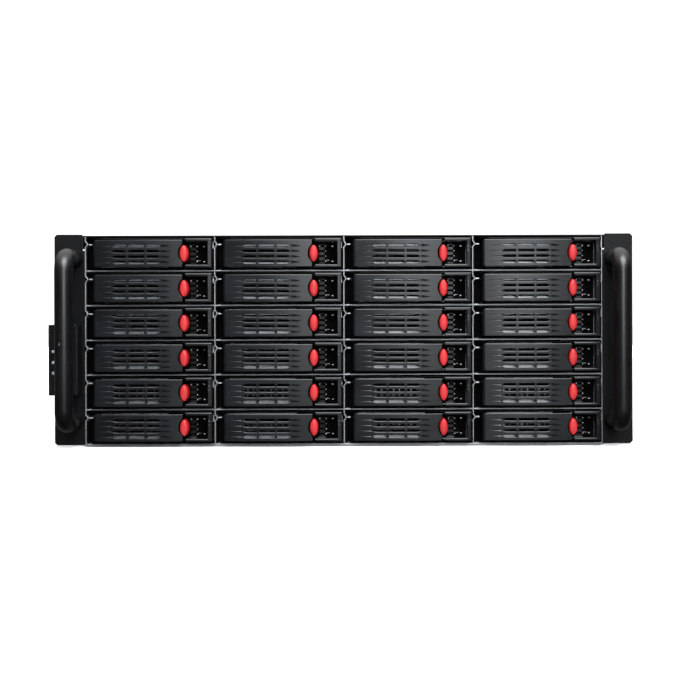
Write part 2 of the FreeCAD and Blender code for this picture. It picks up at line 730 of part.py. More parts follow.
def rear_fan_frames():
    y = BODY_D - SHEET_T
    frame = fan_frame(REAR_FAN_SIZE)
    frame.rotate(Vector(0, 0, 0), Vector(0, 0, 1), 180)
    return Part.makeCompound([moved(frame, x, y, REAR_FAN_Z) for x in rear_fan_places()])


def all_parts():
    parts = {
        "base_pan": base_pan(),
        "front_cover": front_cover(),
        "lid": lid(),
        "lid_thumbscrews": lid_thumbscrews(),
        "rear_panel": rear_panel(),
        "slot_covers": slot_covers(),
        "slot_screws": slot_screws(),
        "standoffs": standoffs(),
        "handles": handles(),
        "handle_screws": handle_screws(),
        "control_box": control_box(),
        "power_button": push_button(BUTTON_W, POWER_Z),
        "reset_button": push_button(RESET_W, RESET_Z),
        "status_lenses": status_lenses(),
        "cage_dividers": cage_dividers(),
        "cage_shelves": cage_shelves(),
        "backplanes": backplanes(),
        "drive_sockets": drive_sockets(),
        "fan_wall": fan_wall(),
        "fan_frames": fan_frames(),
        "rear_fan_frames": rear_fan_frames(),
    }
    ear = right_ear()
    parts["right_ear"] = ear
    parts["left_ear"] = mirrored(ear)
    rotor = fan_rotor(FAN_SIZE, FAN_HUB_R)
    for number, x in enumerate(fan_places(), 1):
        parts[f"fan_rotor_{number}"] = moved(rotor, x, FAN_WALL_Y + FAN_WALL_T, FAN_Z)
    rotor = fan_rotor(REAR_FAN_SIZE, REAR_FAN_HUB_R)
    rotor.rotate(Vector(0, 0, 0), Vector(0, 0, 1), 180)
    for number, x in enumerate(rear_fan_places(), 1):
        parts[f"rear_rotor_{number}"] = moved(rotor, x, BODY_D - SHEET_T, REAR_FAN_Z)
    pan = carrier()
    red_catch = catch()
    plain_tray = Part.makeCompound([pan, bezel(False), lever(False), red_catch])
    open_tray = Part.makeCompound([pan, bezel(True)])
    swing_lever = lever(True)
    for row in range(ROWS):
        for column in range(COLUMNS):
            place = bay_x(column), 0, row_z(row)
            name = f"r{row + 1}c{column + 1}"
            if row == 0:
                parts[f"tray_{name}"] = moved(open_tray, *place)
                parts[f"lever_{name}"] = moved(swing_lever, *place)
                parts[f"catch_{name}"] = moved(red_catch, *place)
            else:
                parts[f"tray_{name}"] = moved(plain_tray, *place)
    return parts


def main():
    os.makedirs("parts", exist_ok=True)
    for name, shape in all_parts().items():
        moved(shape, 0, -MID_Y, 0).exportStep(f"parts/{name}.step")


if __name__ == "__main__":
    main()
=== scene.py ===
# %% [markdown]
# # A storage chassis for a rack
# The object is a steel case, four rack units high, with 24 drive trays at its front. The solids were
# drawn in CAD and packed first. This lesson dresses them: it keeps the sheet metal that is already right,
# and models again what needs a finer shape, such as the tray mouldings, the handles and the fans. Every
# piece rides on the CAD body that carries it.

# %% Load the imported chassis
import math

import bmesh
import bpy
from mathutils import Matrix, Vector


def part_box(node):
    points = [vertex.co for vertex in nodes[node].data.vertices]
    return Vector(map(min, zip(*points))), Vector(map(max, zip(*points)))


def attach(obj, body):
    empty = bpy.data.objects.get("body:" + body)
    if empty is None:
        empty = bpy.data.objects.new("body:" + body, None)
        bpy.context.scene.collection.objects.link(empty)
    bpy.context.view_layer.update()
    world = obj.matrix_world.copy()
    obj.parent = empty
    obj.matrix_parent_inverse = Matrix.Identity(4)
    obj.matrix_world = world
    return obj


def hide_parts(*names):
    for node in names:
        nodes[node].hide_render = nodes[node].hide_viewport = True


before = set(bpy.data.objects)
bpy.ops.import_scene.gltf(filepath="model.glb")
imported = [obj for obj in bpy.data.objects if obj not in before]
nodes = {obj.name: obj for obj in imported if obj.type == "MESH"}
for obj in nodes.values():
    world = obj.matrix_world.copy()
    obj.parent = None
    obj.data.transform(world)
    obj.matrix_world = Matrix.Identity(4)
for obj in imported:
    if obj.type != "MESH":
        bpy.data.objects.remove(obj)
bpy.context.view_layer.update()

MM = 0.001

# %% [markdown]
# ## Colours and shader nodes
# Colours are picked as sRGB hex values, as they would be read off the photograph, and shaders work in
# linear light. One function turns the one into the other, and one more adds a shader node with its
# settings, values and links, so each finish reads as a short list.

# %% Helpers for finishes
def linear(code):
    parts = [int(code[k:k + 2], 16) / 255 for k in (1, 3, 5)]
    return [c / 12.92 if c <= 0.04045 else ((c + 0.055) / 1.055) ** 2.4 for c in parts] + [1.0]


def add_node(tree, kind, inputs=None, **settings):
    node = tree.nodes.new("ShaderNode" + kind)
    for key, value in settings.items():
        setattr(node, key, value)
    for key, value in (inputs or {}).items():
        if isinstance(value, bpy.types.NodeSocket):
            tree.links.new(value, node.inputs[key])
        else:
            node.inputs[key].default_value = value
    return node


def blend(tree, share, first, second):
    return add_node(tree, "Mix", {0: share, 6: first, 7: second}, data_type="RGBA").outputs[2]


def new_finish(name, **sockets):
    finish = bpy.data.materials.new(name)
    finish.use_nodes = True
    shader = finish.node_tree.nodes["Principled BSDF"]
    for key, value in sockets.items():
        shader.inputs[key.replace("_", " ")].default_value = value
    return finish, finish.node_tree, shader


print("black steel in linear light", [round(c, 4) for c in linear("#1b1c1e")[:3]])

# %% [markdown]
# ## Coated and moulded surfaces
# Powder coat, moulded plastic and solder mask look alike in one way: two close tones in soft patches, a
# fine grain in relief, and a gloss that is not quite even. One function mixes these from sizes in
# millimetres. A flat colour would be simpler, but it looks like a drawing of the part, and noise on
# Object coordinates stays put when a tray slides.

# %% A grained finish
def grained(name, dark, light, patch, grain, relief, gloss, **sockets):
    finish, tree, shader = new_finish(name, **sockets)
    place = add_node(tree, "TexCoord").outputs["Object"]
    patches = add_node(tree, "TexNoise", {"Vector": place, "Scale": 1 / (patch * MM), "Detail": 3.0})
    grains = add_node(tree, "TexNoise", {"Vector": place, "Scale": 1 / (grain * MM), "Detail": 2.0})
    tone = add_node(tree, "MapRange", {"Value": patches.outputs[0], "From Min": 0.35, "From Max": 0.65})
    speck = add_node(tree, "Math", {0: grains.outputs[0], 1: 0.35}, operation="MULTIPLY_ADD")
    tree.links.new(tone.outputs[0], speck.inputs[2])
    rough = add_node(tree, "MapRange", {"Value": patches.outputs[0], "From Min": 0.3, "From Max": 0.7,
                                        "To Min": gloss[0], "To Max": gloss[1]})
    bump = add_node(tree, "Bump", {"Strength": 0.6, "Distance": relief * MM, "Height": grains.outputs[0]})
    tree.links.new(blend(tree, speck.outputs[0], linear(dark), linear(light)), shader.inputs["Base Color"])
    tree.links.new(rough.outputs[0], shader.inputs["Roughness"])
    tree.links.new(bump.outputs[0], shader.inputs["Normal"])
    return finish


print("grained finish ready")

# %% [markdown]
# ## Coats and plastics of this chassis
# The case is powder coated, the tray fronts are moulded in ABS and the fans in nylon. Each finish below
# gives its two tones, the sizes of its patches and grain and the depth of the relief in millimetres, and
# the range of its roughness. Real grain is mostly too fine for a picture of the whole chassis, so it is
# drawn larger.

# %% Coats and plastics
# Powder coat on steel: baked resin, satin. Its orange peel is under 1 mm and is drawn at 1.8 mm.
powder_coat = grained("powder_coated_steel", "#090a0b", "#0f1012", 45, 1.8, 0.04, (0.46, 0.49),
                      Specular_IOR_Level=0.3)
# The ears take the powder coat drawn darker and less shiny, a painted shade for the handles' shadow on
# them.
shaded_ear_coat = grained("ear_coat_painted_shade", "#040405", "#08090a", 45, 1.8, 0.04, (0.46, 0.49),
                   Specular_IOR_Level=0.2)
# Black ABS with a spark-eroded mould texture, a soft sheen. The texture is 0.1 mm and is drawn at 1.2 mm.
lever_abs = grained("black_abs_satin", "#08090b", "#0e1013", 30, 1.2, 0.03, (0.31, 0.36))
bezel_abs = grained("black_abs_matt", "#060607", "#0b0b0c", 30, 1.2, 0.03, (0.3, 0.36),
                    Specular_IOR_Level=0.4)
# Painted shade for the recesses of the tray moulding: the same ABS drawn near black and with almost no
# shine, where the real insides are only in shade. Its skin is a coarse mould texture.
recess_shade_abs = grained("abs_painted_recess_shade", "#010101", "#040404", 12, 1.4, 0.05, (0.7, 0.85),
                    Specular_IOR_Level=0.03)
# Red ABS, moulded smooth, so the eye can find the release at once.
red_abs = grained("red_abs", "#96080d", "#a60f15", 9, 1.0, 0.015, (0.46, 0.52))
# Glass-filled nylon of the fans: dull, with a slightly cloudy skin.
fan_nylon = grained("glass_filled_nylon", "#121315", "#1c1d1f", 14, 1.4, 0.04, (0.48, 0.62))
# Green solder mask over fibre glass: glossy, and the copper under it shows as a lighter cast.
solder_mask = grained("green_solder_mask", "#0b3a22", "#15573a", 5, 0.9, 0.02, (0.25, 0.36))
# Frosted acrylic of the indicator lenses, unlit: a milky grey.
frosted_acrylic = grained("frosted_acrylic", "#7c8184", "#94989b", 3, 0.8, 0.01, (0.3, 0.4), IOR=1.49)
# Clear light pipes of the trays, unlit: a dark grey wet look.
light_pipe = grained("unlit_light_pipe", "#2a2e30", "#44494c", 2, 0.7, 0.01, (0.18, 0.28), IOR=1.49)
print("grained finishes", len(bpy.data.materials))

# %% [markdown]
# ## The enamelled handles
# The handles are steel bar under a smooth satin enamel, and hands have left small scuffs on it. The
# scuffs are the peaks of a stretched noise: few, short, and lighter than the enamel round them. A painted
# mask would need an image file.

# %% Handle enamel
SCUFF = 5 * MM
handle_enamel = grained("satin_enamel", "#030304", "#060607", 20, 1.6, 0.02, (0.33, 0.37),
                        Specular_IOR_Level=0.62)
tree = handle_enamel.node_tree
shader = tree.nodes["Principled BSDF"]
place = add_node(tree, "TexCoord").outputs["Object"]
upright = add_node(tree, "Mapping", {"Vector": place, "Scale": (1, 1, 0.45)})
scrape = add_node(tree, "TexNoise", {"Vector": upright.outputs[0], "Scale": 1 / SCUFF, "Detail": 5.0})
scuff = add_node(tree, "MapRange", {"Value": scrape.outputs[0], "From Min": 0.72, "From Max": 0.78})
enamel = shader.inputs["Base Color"].links[0].from_socket
tree.links.new(blend(tree, scuff.outputs[0], enamel, linear("#56585b")), shader.inputs["Base Color"])
print("enamel nodes", len(tree.nodes))

# %% [markdown]
# ## Zinc, brass and screws
# The cage and the carriers are zinc-coated sheet. Zinc freezes in flat crystals, so neighbouring patches
# differ a little in brightness and gloss, and the rolling leaves faint lines along the sheet. A Voronoi
# pattern gives the crystals and a stretched noise gives the lines. The turned brass, the plated screws
# and the wire use the same function with finer patterns.

# %% Bare metals
def bare_metal(name, dark, light, crystal, line, gloss):
    finish, tree, shader = new_finish(name, Metallic=1.0)
    place = add_node(tree, "TexCoord").outputs["Object"]
    flakes = add_node(tree, "TexVoronoi", {"Vector": place, "Scale": 1 / (crystal * MM)})
    flat = add_node(tree, "RGBToBW", {"Color": flakes.outputs["Color"]})
    along = add_node(tree, "Mapping", {"Vector": place, "Scale": (1, 0.06, 1)}).outputs[0]
    lines = add_node(tree, "TexNoise", {"Vector": along, "Scale": 1 / (line * MM), "Detail": 2.0})
    both = add_node(tree, "Math", {0: flat.outputs[0], 1: lines.outputs[0]}, operation="ADD")
    tone = add_node(tree, "MapRange", {"Value": both.outputs[0], "From Min": 0.5, "From Max": 1.5})
    rough = add_node(tree, "MapRange", {"Value": both.outputs[0], "From Min": 0.5, "From Max": 1.5,
                                        "To Min": gloss[0], "To Max": gloss[1]})
    bump = add_node(tree, "Bump", {"Strength": 0.4, "Distance": 0.02 * MM, "Height": lines.outputs[0]})
    tree.links.new(blend(tree, tone.outputs[0], linear(dark), linear(light)), shader.inputs["Base Color"])
    tree.links.new(rough.outputs[0], shader.inputs["Roughness"])
    tree.links.new(bump.outputs[0], shader.inputs["Normal"])
    return finish


# Hot-dip galvanised sheet of the carriers: pale grey with 9 mm crystals.
zinc_sheet = bare_metal("galvanised_steel", "#d6dade", "#eceff1", 9, 1.5, (0.48, 0.56))
# Electrolytic zinc on the cage: the same pattern, a darker grey.
cage_zinc = bare_metal("electroplated_zinc_sheet", "#9b9c9f", "#b2b3b6", 9, 1.5, (0.48, 0.56))
# Zinc-plated screws: glossier, with a fine turned skin.
plated_screw = bare_metal("zinc_plated_screw", "#a6a9ad", "#c6c9cc", 2, 0.8, (0.24, 0.36))
# Turned brass of the stand-offs, a little dulled.
turned_brass = bare_metal("turned_brass", "#b08d45", "#cfae63", 3, 0.8, (0.28, 0.4))
# Drawn wire of the fan guards, bright nickel plate.
plated_wire = bare_metal("nickel_plated_wire", "#9fa2a5", "#c9cbcd", 4, 1.0, (0.2, 0.32))
print("finishes so far", len(bpy.data.materials))

# %% [markdown]
# ## Sheet metal that stays
# The pan, covers, panels, cage and boards already have their real shape in CAD. A folded sheet never ends
# in a sharp edge, so each gets a weld, because its mesh is loose triangles, and then a small bevel that
# catches the light. The bevel's width is what a deburred edge or a moulded corner has.

# %% Dress the CAD nodes
EDGE_ANGLE = math.radians(34)


def dress(node, finish, edge, segments=2):
    piece = nodes[node]
    piece.data.materials.clear()
    piece.data.materials.append(finish)
    weld = piece.modifiers.new("weld", "WELD")
    weld.merge_threshold = 0.001 * MM
    bevel = piece.modifiers.new("edge", "BEVEL")
    bevel.width = edge * MM
    bevel.segments = segments
    bevel.limit_method = "ANGLE"
    bevel.angle_limit = EDGE_ANGLE


for node in ("base_pan", "front_cover", "lid", "rear_panel"):
    dress(node, powder_coat, edge=0.35)
# The ears' darker coat is painted shade for the handles' shadow.
for node in ("left_ear", "right_ear"):
    dress(node, shaded_ear_coat, edge=0.6, segments=3)
for node in ("cage_dividers", "cage_shelves", "slot_covers", "fan_wall"):
    dress(node, cage_zinc, edge=0.18)
dress("control_box", bezel_abs, edge=0.7, segments=3)
for node in ("power_button", "reset_button"):
    dress(node, lever_abs, edge=0.35, segments=3)
dress("status_lenses", frosted_acrylic, edge=0.3, segments=3)
dress("backplanes", solder_mask, edge=0.1)
dress("drive_sockets", bezel_abs, edge=0.25)
dress("standoffs", turned_brass, edge=0.2)
for node in ("slot_screws", "handle_screws"):
    dress(node, plated_screw, edge=0.25)
print("dressed", sum(len(n.modifiers) > 0 for n in nodes.values()))

# %% [markdown]
# ## Blocks
# New pieces are drawn in millimetres and scaled to metres at the end. The simplest solid is a block: a
# cube that is scaled and moved to lie between two corners. No moulded or folded edge is sharp, so a bevel
# can ease it.

# %% Corners and blocks
def corners(edges):
    return list({v for e in edges for v in e.verts})


def faces_of(verts):
    return list({f for v in verts for f in v.link_faces})


def only(kind, geom):
    return [g for g in geom if isinstance(g, kind)]


def ease(bm, verts, width, segments=2):
    edges = list({e for v in verts for e in v.link_edges})
    bmesh.ops.bevel(bm, geom=edges, offset=width, segments=segments, profile=0.5, affect="EDGES",
                    material=-1, clamp_overlap=True)


def block(bm, x, y, z, edge=0.0, segments=1, coat=0):
    low, high = Vector((x[0], y[0], z[0])), Vector((x[1], y[1], z[1]))
    verts = bmesh.ops.create_cube(bm, size=1.0)["verts"]
    bmesh.ops.scale(bm, vec=high - low, verts=verts)
    bmesh.ops.translate(bm, vec=(low + high) / 2, verts=verts)
    for face in faces_of(verts):
        face.material_index = coat
    if edge:
        ease(bm, verts, edge, segments)


print("block helper ready")

# %% [markdown]
# ## Loops, plates and rods
# Most pieces are plates: an outline, some holes in it, and a thickness. So one helper pulls a loop of
# edges along, and another fills a set of loops, holes and all, at both ends of the pull. Booleans could
# cut the holes too, but they are slower and can fail where faces touch. A rod is a cone whose ends may
# differ.

# %% Loops, pulls, plates and rods
FACING_FRONT = Matrix.Rotation(math.pi / 2, 4, "X")
FACING_UP = Matrix.Identity(4)


def loop(bm, points):
    verts = [bm.verts.new(p) for p in points]
    return [bm.edges.new(pair) for pair in zip(verts, verts[1:] + verts[:1])]


def pane(bm, x, y, z):
    return loop(bm, [(x[0], y, z[0]), (x[1], y, z[0]), (x[1], y, z[1]), (x[0], y, z[1])])


def ring(bm, centre, radius, segments=24, turn=FACING_FRONT):
    made = bmesh.ops.create_circle(bm, cap_ends=False, radius=radius, segments=segments,
                                   matrix=Matrix.Translation(centre) @ turn)
    return list({e for v in made["verts"] for e in v.link_edges})


def pull(bm, edges, move):
    made = bmesh.ops.extrude_edge_only(bm, edges=edges)["geom"]
    fresh = set(only(bmesh.types.BMVert, made))
    bmesh.ops.translate(bm, vec=move, verts=list(fresh))
    return [e for e in only(bmesh.types.BMEdge, made) if set(e.verts) <= fresh]


def fill(bm, edges):
    bmesh.ops.triangle_fill(bm, use_beauty=True, use_dissolve=False, edges=edges)


def plate(bm, edges, move):
    fill(bm, edges)
    fill(bm, pull(bm, edges, move))


def rod(bm, start, end, radius, segments=12, tip=None):
    start, end = Vector(start), Vector(end)
    turn = (end - start).to_track_quat("Z", "Y").to_matrix().to_4x4()
    made = bmesh.ops.create_cone(bm, cap_ends=True, segments=segments, radius1=radius,
                                 radius2=radius if tip is None else tip, depth=(end - start).length,
                                 matrix=Matrix.Translation((start + end) / 2) @ turn)
    return made["verts"]


print("loop helpers ready")

# %% [markdown]
# ## From a mesh to a piece
# A finished mesh is welded, its faces are turned outward and it is scaled to metres. Then it becomes a
# piece that rides on a CAD body, takes a material slot, and may stand in for the solids that it draws
# again. The piece gets a copy of the mesh, so one mesh can serve every bay.

# %% Mesh to piece
def to_mesh(bm, name, *finishes, smooth=40):
    bmesh.ops.remove_doubles(bm, verts=bm.verts[:], dist=0.002)
    bmesh.ops.recalc_face_normals(bm, faces=bm.faces[:])
    bmesh.ops.scale(bm, vec=(MM, MM, MM), verts=bm.verts[:])
    mesh = bpy.data.meshes.new(name)
    bm.to_mesh(mesh)
    bm.free()
    for finish in finishes:
        mesh.materials.append(finish)
    mesh.shade_smooth()
    mesh.set_sharp_from_angle(angle=math.radians(smooth))
    return mesh


def place_piece(name, mesh, body, stands_for=(), shift=(0, 0, 0)):
    mesh = mesh.copy()
    mesh.name = name
    mesh.transform(Matrix.Translation(Vector(shift) * MM))
    piece = bpy.data.objects.new(name, mesh)
    bpy.context.scene.collection.objects.link(piece)
    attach(piece, body)
    if stands_for:
        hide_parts(*stands_for)


print("piece helpers ready")

# %% [markdown]
# ## Grab handles
# Each handle is one round steel bar with two bends and a thick coating, screwed through the ear from
# behind. A circle is pulled out of the ear, spun round the bend, pulled down the grip, spun again and
# pulled home. A curve with a round bevel could do it too, but spin gives an even, closed mesh whose bend
# has a known radius.

# %% Handles
ear_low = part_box("left_ear")[0] / MM
grip_low, grip_high = [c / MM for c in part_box("handles")]
CORE_R = 7.0
COATING = 0.4
BAR_R = CORE_R + COATING
BEND_R = 11.0


def revolve(bm, geom, centre, axis, angle, steps, merge=False):
    return bmesh.ops.spin(bm, geom=geom, cent=centre, axis=axis, dvec=(0, 0, 0), angle=angle, steps=steps,
                          use_merge=merge, use_normal_flip=False, use_duplicate=False)["geom_last"]


def bend(bm, edges, centre):
    last = revolve(bm, corners(edges) + edges, centre, (1, 0, 0), math.pi / 2, 10)
    return only(bmesh.types.BMEdge, last)


handles = bmesh.new()
foot_y = ear_low.y
bend_y = grip_low.y + CORE_R + BEND_R
z_low, z_high = grip_low.z + CORE_R, grip_high.z - CORE_R
for x in (grip_low.x + CORE_R, grip_high.x - CORE_R):
    start = ring(handles, (x, foot_y, z_high), BAR_R, 32)
    edges = pull(handles, start, (0, bend_y - foot_y, 0))
    edges = bend(handles, edges, (x, bend_y, z_high - BEND_R))
    edges = pull(handles, edges, (0, 0, z_low - z_high + 2 * BEND_R))
    edges = bend(handles, edges, (x, bend_y, z_low + BEND_R))
    last = pull(handles, edges, (0, foot_y - bend_y, 0))
    fill(handles, start)
    fill(handles, last)
handle_mesh = to_mesh(handles, "grab_handles", handle_enamel, smooth=60)
place_piece("grab_handles", handle_mesh, "chassis", ["handles"])
print("handle bar", BAR_R * 2, "mm thick,", round(z_high - z_low), "mm between centres")

# %% [markdown]
# ## Tray carrier
# Behind each bezel sits a zinc carrier, a U of sheet with a flange at its front. The lever's top slots
# show the flange, the lowest show a lip before it, and the middle ones show its window. The U is three
# edges pulled along, cut by planes where the vents go, and given its thickness by solidify. The flange is
# a plate with a hole. Sizes are in the bay's own frame: x from the divider, z from the shelf, y from the
# cage's front.

# %% Carrier
SHEET = 0.8
TRAY_X = (1.6, 104.4)
TRAY_LOW = 0.3
SIDE_Z = (0.7, 17.3)
FLANGE_X, FLANGE_Z = (9.5, 104.8), (TRAY_LOW, 26.2)
FLANGE_Y = 8.0
WINDOW_X, WINDOW_Z = (19, 66), (6.8, 20.4)
TRAY_Y = FLANGE_Y + SHEET
TRAY_LENGTH = 158.0
TRAY_END = TRAY_Y + TRAY_LENGTH
VENT_COLUMNS = ((14, 46), (60, 92))
VENT_ROWS = ((34, 62), (72, 100), (110, 138))
SLOT_LIP_X = (21, 65)
PIN_ROWS = (7.4, 11.6, 15.8, 20.0)


def cut(bm, axis, value):
    normal = Vector([float(k == "xyz".index(axis)) for k in range(3)])
    bmesh.ops.bisect_plane(bm, geom=bm.verts[:] + bm.edges[:] + bm.faces[:], dist=1e-5,
                           plane_co=normal * value, plane_no=normal, clear_inner=False, clear_outer=False)


def is_vent(face):
    spot = face.calc_center_median()
    in_column = any(low < spot.x < high for low, high in VENT_COLUMNS)
    return in_column and any(low < spot.y < high for low, high in VENT_ROWS) and abs(face.normal.z) > 0.9


def carrier_mesh():
    bm = bmesh.new()
    left, right = TRAY_X
    floor, top = SIDE_Z
    path = ((left, top), (left, floor), (right, floor), (right, top))
    verts = [bm.verts.new((x, TRAY_Y, z)) for x, z in path]
    pull(bm, [bm.edges.new(pair) for pair in zip(verts, verts[1:])], (0, TRAY_LENGTH, 0))
    for x in sum(VENT_COLUMNS, ()):
        cut(bm, "x", x)
    for y in sum(VENT_ROWS, ()):
        cut(bm, "y", y)
    bm.normal_update()
    bmesh.ops.delete(bm, geom=[f for f in bm.faces if is_vent(f)], context="FACES")
    bmesh.ops.recalc_face_normals(bm, faces=bm.faces[:])
    bmesh.ops.solidify(bm, geom=bm.faces[:], thickness=SHEET)
    low = min(v.co.z for v in bm.verts)
    bmesh.ops.translate(bm, vec=(0, 0, TRAY_LOW - low), verts=bm.verts[:])
    flange = pane(bm, FLANGE_X, FLANGE_Y, FLANGE_Z) + pane(bm, WINDOW_X, FLANGE_Y, WINDOW_Z)
    plate(bm, flange, (0, SHEET, 0))
    # The lip behind the lowest slots, an L of sheet
    block(bm, SLOT_LIP_X, (0.2, 1.0), (3.2, 6.3))
    block(bm, SLOT_LIP_X, (1.0, FLANGE_Y), (3.2, 4.0))
    # The tab beside the divider's rib, and the turned-up rear edge
    block(bm, (2.2, 4.9), (1.6, 8.4), (20.95, 21.9), 0.15)
    block(bm, TRAY_X, (TRAY_END - 0.9, TRAY_END - 0.1), (floor, 2.6))
    # Two small tabs that show in the catch's pocket
    for z, half in ((PIN_ROWS[0], 0.35), (PIN_ROWS[-1], 0.5)):
        block(bm, (96.2, 97.7), (5.8, 6.2), (z - half, z + half), 0.15)
    return to_mesh(bm, "carrier", zinc_sheet)


carrier = carrier_mesh()
print("carrier faces", len(carrier.polygons))

# %% [markdown]
# ## Tray bezel
# The bezel is a black moulding. At its right it has a deep frame, open to the left, round the pocket that
# the catch slides in. The frame is a C-shaped outline, inset to chamfer its front, and pulled back to its
# full depth. Its right cheek slopes back by seven degrees, so its brightness changes from column to
# column, as in the photograph.

# %% Bezel frame
FACE_Y = -4.7
BEZEL_X = (4.5, 104.6)
FRAME_LEFT = 82.7
FRAME_Z = (2.1, 26.0)
POCKET_X = 101.0
POCKET_Z = (4.3, 23.6)
CHEEK_SLOPE = 0.12
CHAMFER, CHAMFER_RISE = 0.6, 0.26


def chamfered_face(bm, outline, width, rise):
    face = bmesh.ops.contextual_create(bm, geom=outline)["faces"][0]
    face.normal_update()
    if face.normal.y > 0:
        face.normal_flip()
    bmesh.ops.inset_region(bm, faces=[face], thickness=width, depth=rise, use_even_offset=True,
                           use_boundary=True)
    return face


def bezel_frame(bm):
    left, right = FRAME_LEFT, BEZEL_X[1]
    outside = [(left, FRAME_Z[0]), (right, FRAME_Z[0]), (right, FRAME_Z[1]), (left, FRAME_Z[1])]
    inside = [(left, POCKET_Z[1]), (POCKET_X, POCKET_Z[1]), (POCKET_X, POCKET_Z[0]), (left, POCKET_Z[0])]
    edges = loop(bm, [(x, FACE_Y, z) for x, z in outside + inside])
    chamfered_face(bm, edges, CHAMFER, CHAMFER_RISE)
    back = pull(bm, edges, (0, FLANGE_Y - FACE_Y, 0))
    # The frame's right outer wall, beside the divider, takes the near-black painted shade.
    for face in {f for e in back for f in e.link_faces}:
        if min(v.co.x for v in face.verts) > right - CHAMFER:
            face.material_index = 1
    fill(bm, back)
    cut(bm, "x", POCKET_X)
    for vert in bm.verts:
        if vert.co.x > POCKET_X + 0.1 and vert.co.y < 0:
            vert.co.y += CHEEK_SLOPE * (vert.co.x - POCKET_X)


print("pocket", round(POCKET_X - FRAME_LEFT, 1), "mm wide")

# %% [markdown]
# ## Bars and walls of the bezel
# A bar runs along the top and bottom of the tray, and the lever's pin stands between two lugs at their
# left. Walls behind the lever and beside the dividers are dark sheets put where the tray shows only shade,
# and they close the sight lines into it. Thin lips half cover the divider's edge. The bars, lugs, walls,
# these lips and the pocket's floor are drawn in the near-black painted shade. A moulding of straight walls
# needs no more than blocks. Two light pipes end in the cheek.

# %% Bezel and light pipes
BAR_FEET = (0.6, 25.4)
BAR_T = 1.6
HINGE = (9.6, 1.0)
PIN_Z = (1.6, 26.0)
RAMP = ((2.6, 4.2), (4.3, 4.2), (4.3, 5.2), (3.4, 5.2))
RAMP_X, RAMP_WIDE = 84.2, 6.6
PIPE_X = 102.2
PIPE_ROWS = (16.0, 19.0)


def bezel_mesh():
    bm = bmesh.new()
    bezel_frame(bm)
    # Coat 1, here and below, is the near-black painted shade of the recesses.
    # The pocket's floor
    block(bm, (81.6, POCKET_X), (6.0, 7.6), (3.8, POCKET_Z[1]), coat=1)
    # Bars with their hinge lugs, and the thin lip along the top
    for z in BAR_FEET:
        block(bm, BEZEL_X, (-0.8, FLANGE_Y), (z, z + BAR_T), coat=1)
        block(bm, (BEZEL_X[0], 13.0), (-1.6, 4.4), (z, z + BAR_T), 0.5, 2, coat=1)
    block(bm, BEZEL_X, (-1.1, -0.7), (26.1, 26.5), 0.15)
    # Lips that half cover the divider's edge, clear of its rib
    for z in ((0.6, 18.0), (24.5, 27.0)):
        block(bm, (104.5, 106.2), (-0.8, -0.1), z, coat=1)
    # The ramp in the pocket's foot
    plate(bm, loop(bm, [(RAMP_X, *corner) for corner in RAMP]), (RAMP_WIDE, 0, 0))
    # Walls at the left, open where the rib passes, and one behind the lever's end
    for z in ((0.6, 20.2), (22.6, 27.0)):
        block(bm, (1.5, 10.5), (6.6, 7.9), z, coat=1)
    for z in ((0.6, 18.4), (24.5, 27.0)):
        block(bm, (0.4, 1.5), (0.8, 7.9), z, coat=1)
    block(bm, (67.0, 82.0), (6.4, 7.9), (1.0, 26.6), coat=1)
    # The hinge pin
    rod(bm, (*HINGE, PIN_Z[0]), (*HINGE, PIN_Z[1]), 1.25, 12)
    return to_mesh(bm, "bezel", bezel_abs, recess_shade_abs, smooth=18)


def light_pipe_mesh():
    bm = bmesh.new()
    for z in PIPE_ROWS:
        rod(bm, (PIPE_X, -4.6, z), (PIPE_X, -5.35, z), 0.8, 12, 0.5)
    return to_mesh(bm, "light_pipes", light_pipe)


bezel = bezel_mesh()
pipes = light_pipe_mesh()
print("bezel faces", len(bezel.polygons))

# %% [markdown]
# ## Tray lever
# The lever is a long vented cover, hinged at its left, that pulls the tray out. A concave notch at its
# right fits round the red catch. Its outline is an arc, spun from one vertex round the notch's centre,
# and four corners. A boolean with a cylinder would cut the notch too, but the spun arc gives one clean
# loop to inset and fill.

# %% Lever outline
NOTCH = (81.7, 13.7)
NOTCH_HALF_W, NOTCH_HALF_H = 4.6, 8.3
NOTCH_R = (NOTCH_HALF_W ** 2 + NOTCH_HALF_H ** 2) / (2 * NOTCH_HALF_W)
LEVER_START, LEVER_END = 6.9, 80.5
LEVER_LENGTH = LEVER_END - LEVER_START
LEVER_Z = (2.5, 24.8)


def notch_arc(bm, low):
    centre = (NOTCH[0] - NOTCH_HALF_W + NOTCH_R, low.co.y, NOTCH[1])
    angle = 2 * math.asin((NOTCH[1] - low.co.z) / NOTCH_R)
    return only(bmesh.types.BMVert, revolve(bm, [low], centre, (0, 1, 0), angle, 10))[0]


def lever_outline(bm):
    reach = math.sqrt(NOTCH_R ** 2 - (NOTCH[0] - LEVER_END + NOTCH_R - NOTCH_HALF_W) ** 2)
    low = bm.verts.new((LEVER_END, 0, NOTCH[1] - reach))
    top = notch_arc(bm, low)
    foot, head = LEVER_Z
    rest = ((LEVER_END, head), (LEVER_START, head), (LEVER_START, foot), (LEVER_END, foot))
    chain = [top] + [bm.verts.new((x, 0, z)) for x, z in rest] + [low]
    for pair in zip(chain, chain[1:]):
        bm.edges.new(pair)
    return bm.edges[:]


print("lever", round(LEVER_LENGTH, 1), "mm long, notch radius", round(NOTCH_R, 1))

# %% [markdown]
# ## Grooves and slots
# The lever's face has four rows of three slots that let air in to the drive, and each row has a tapering
# groove at either end. Every outline is a loop that lies in the face, so the face can be filled round all
# of them at once. A groove is sunk to a narrow floor. A slot gets a lip and is pulled through to the
# back.

# %% Grooves and slots
LEVER_CROWN = 0.15
LEVER_BACK = 3.0
SLOT_ROWS = (6.35, 10.85, 15.35, 19.85)
SLOT_LIP = 0.2
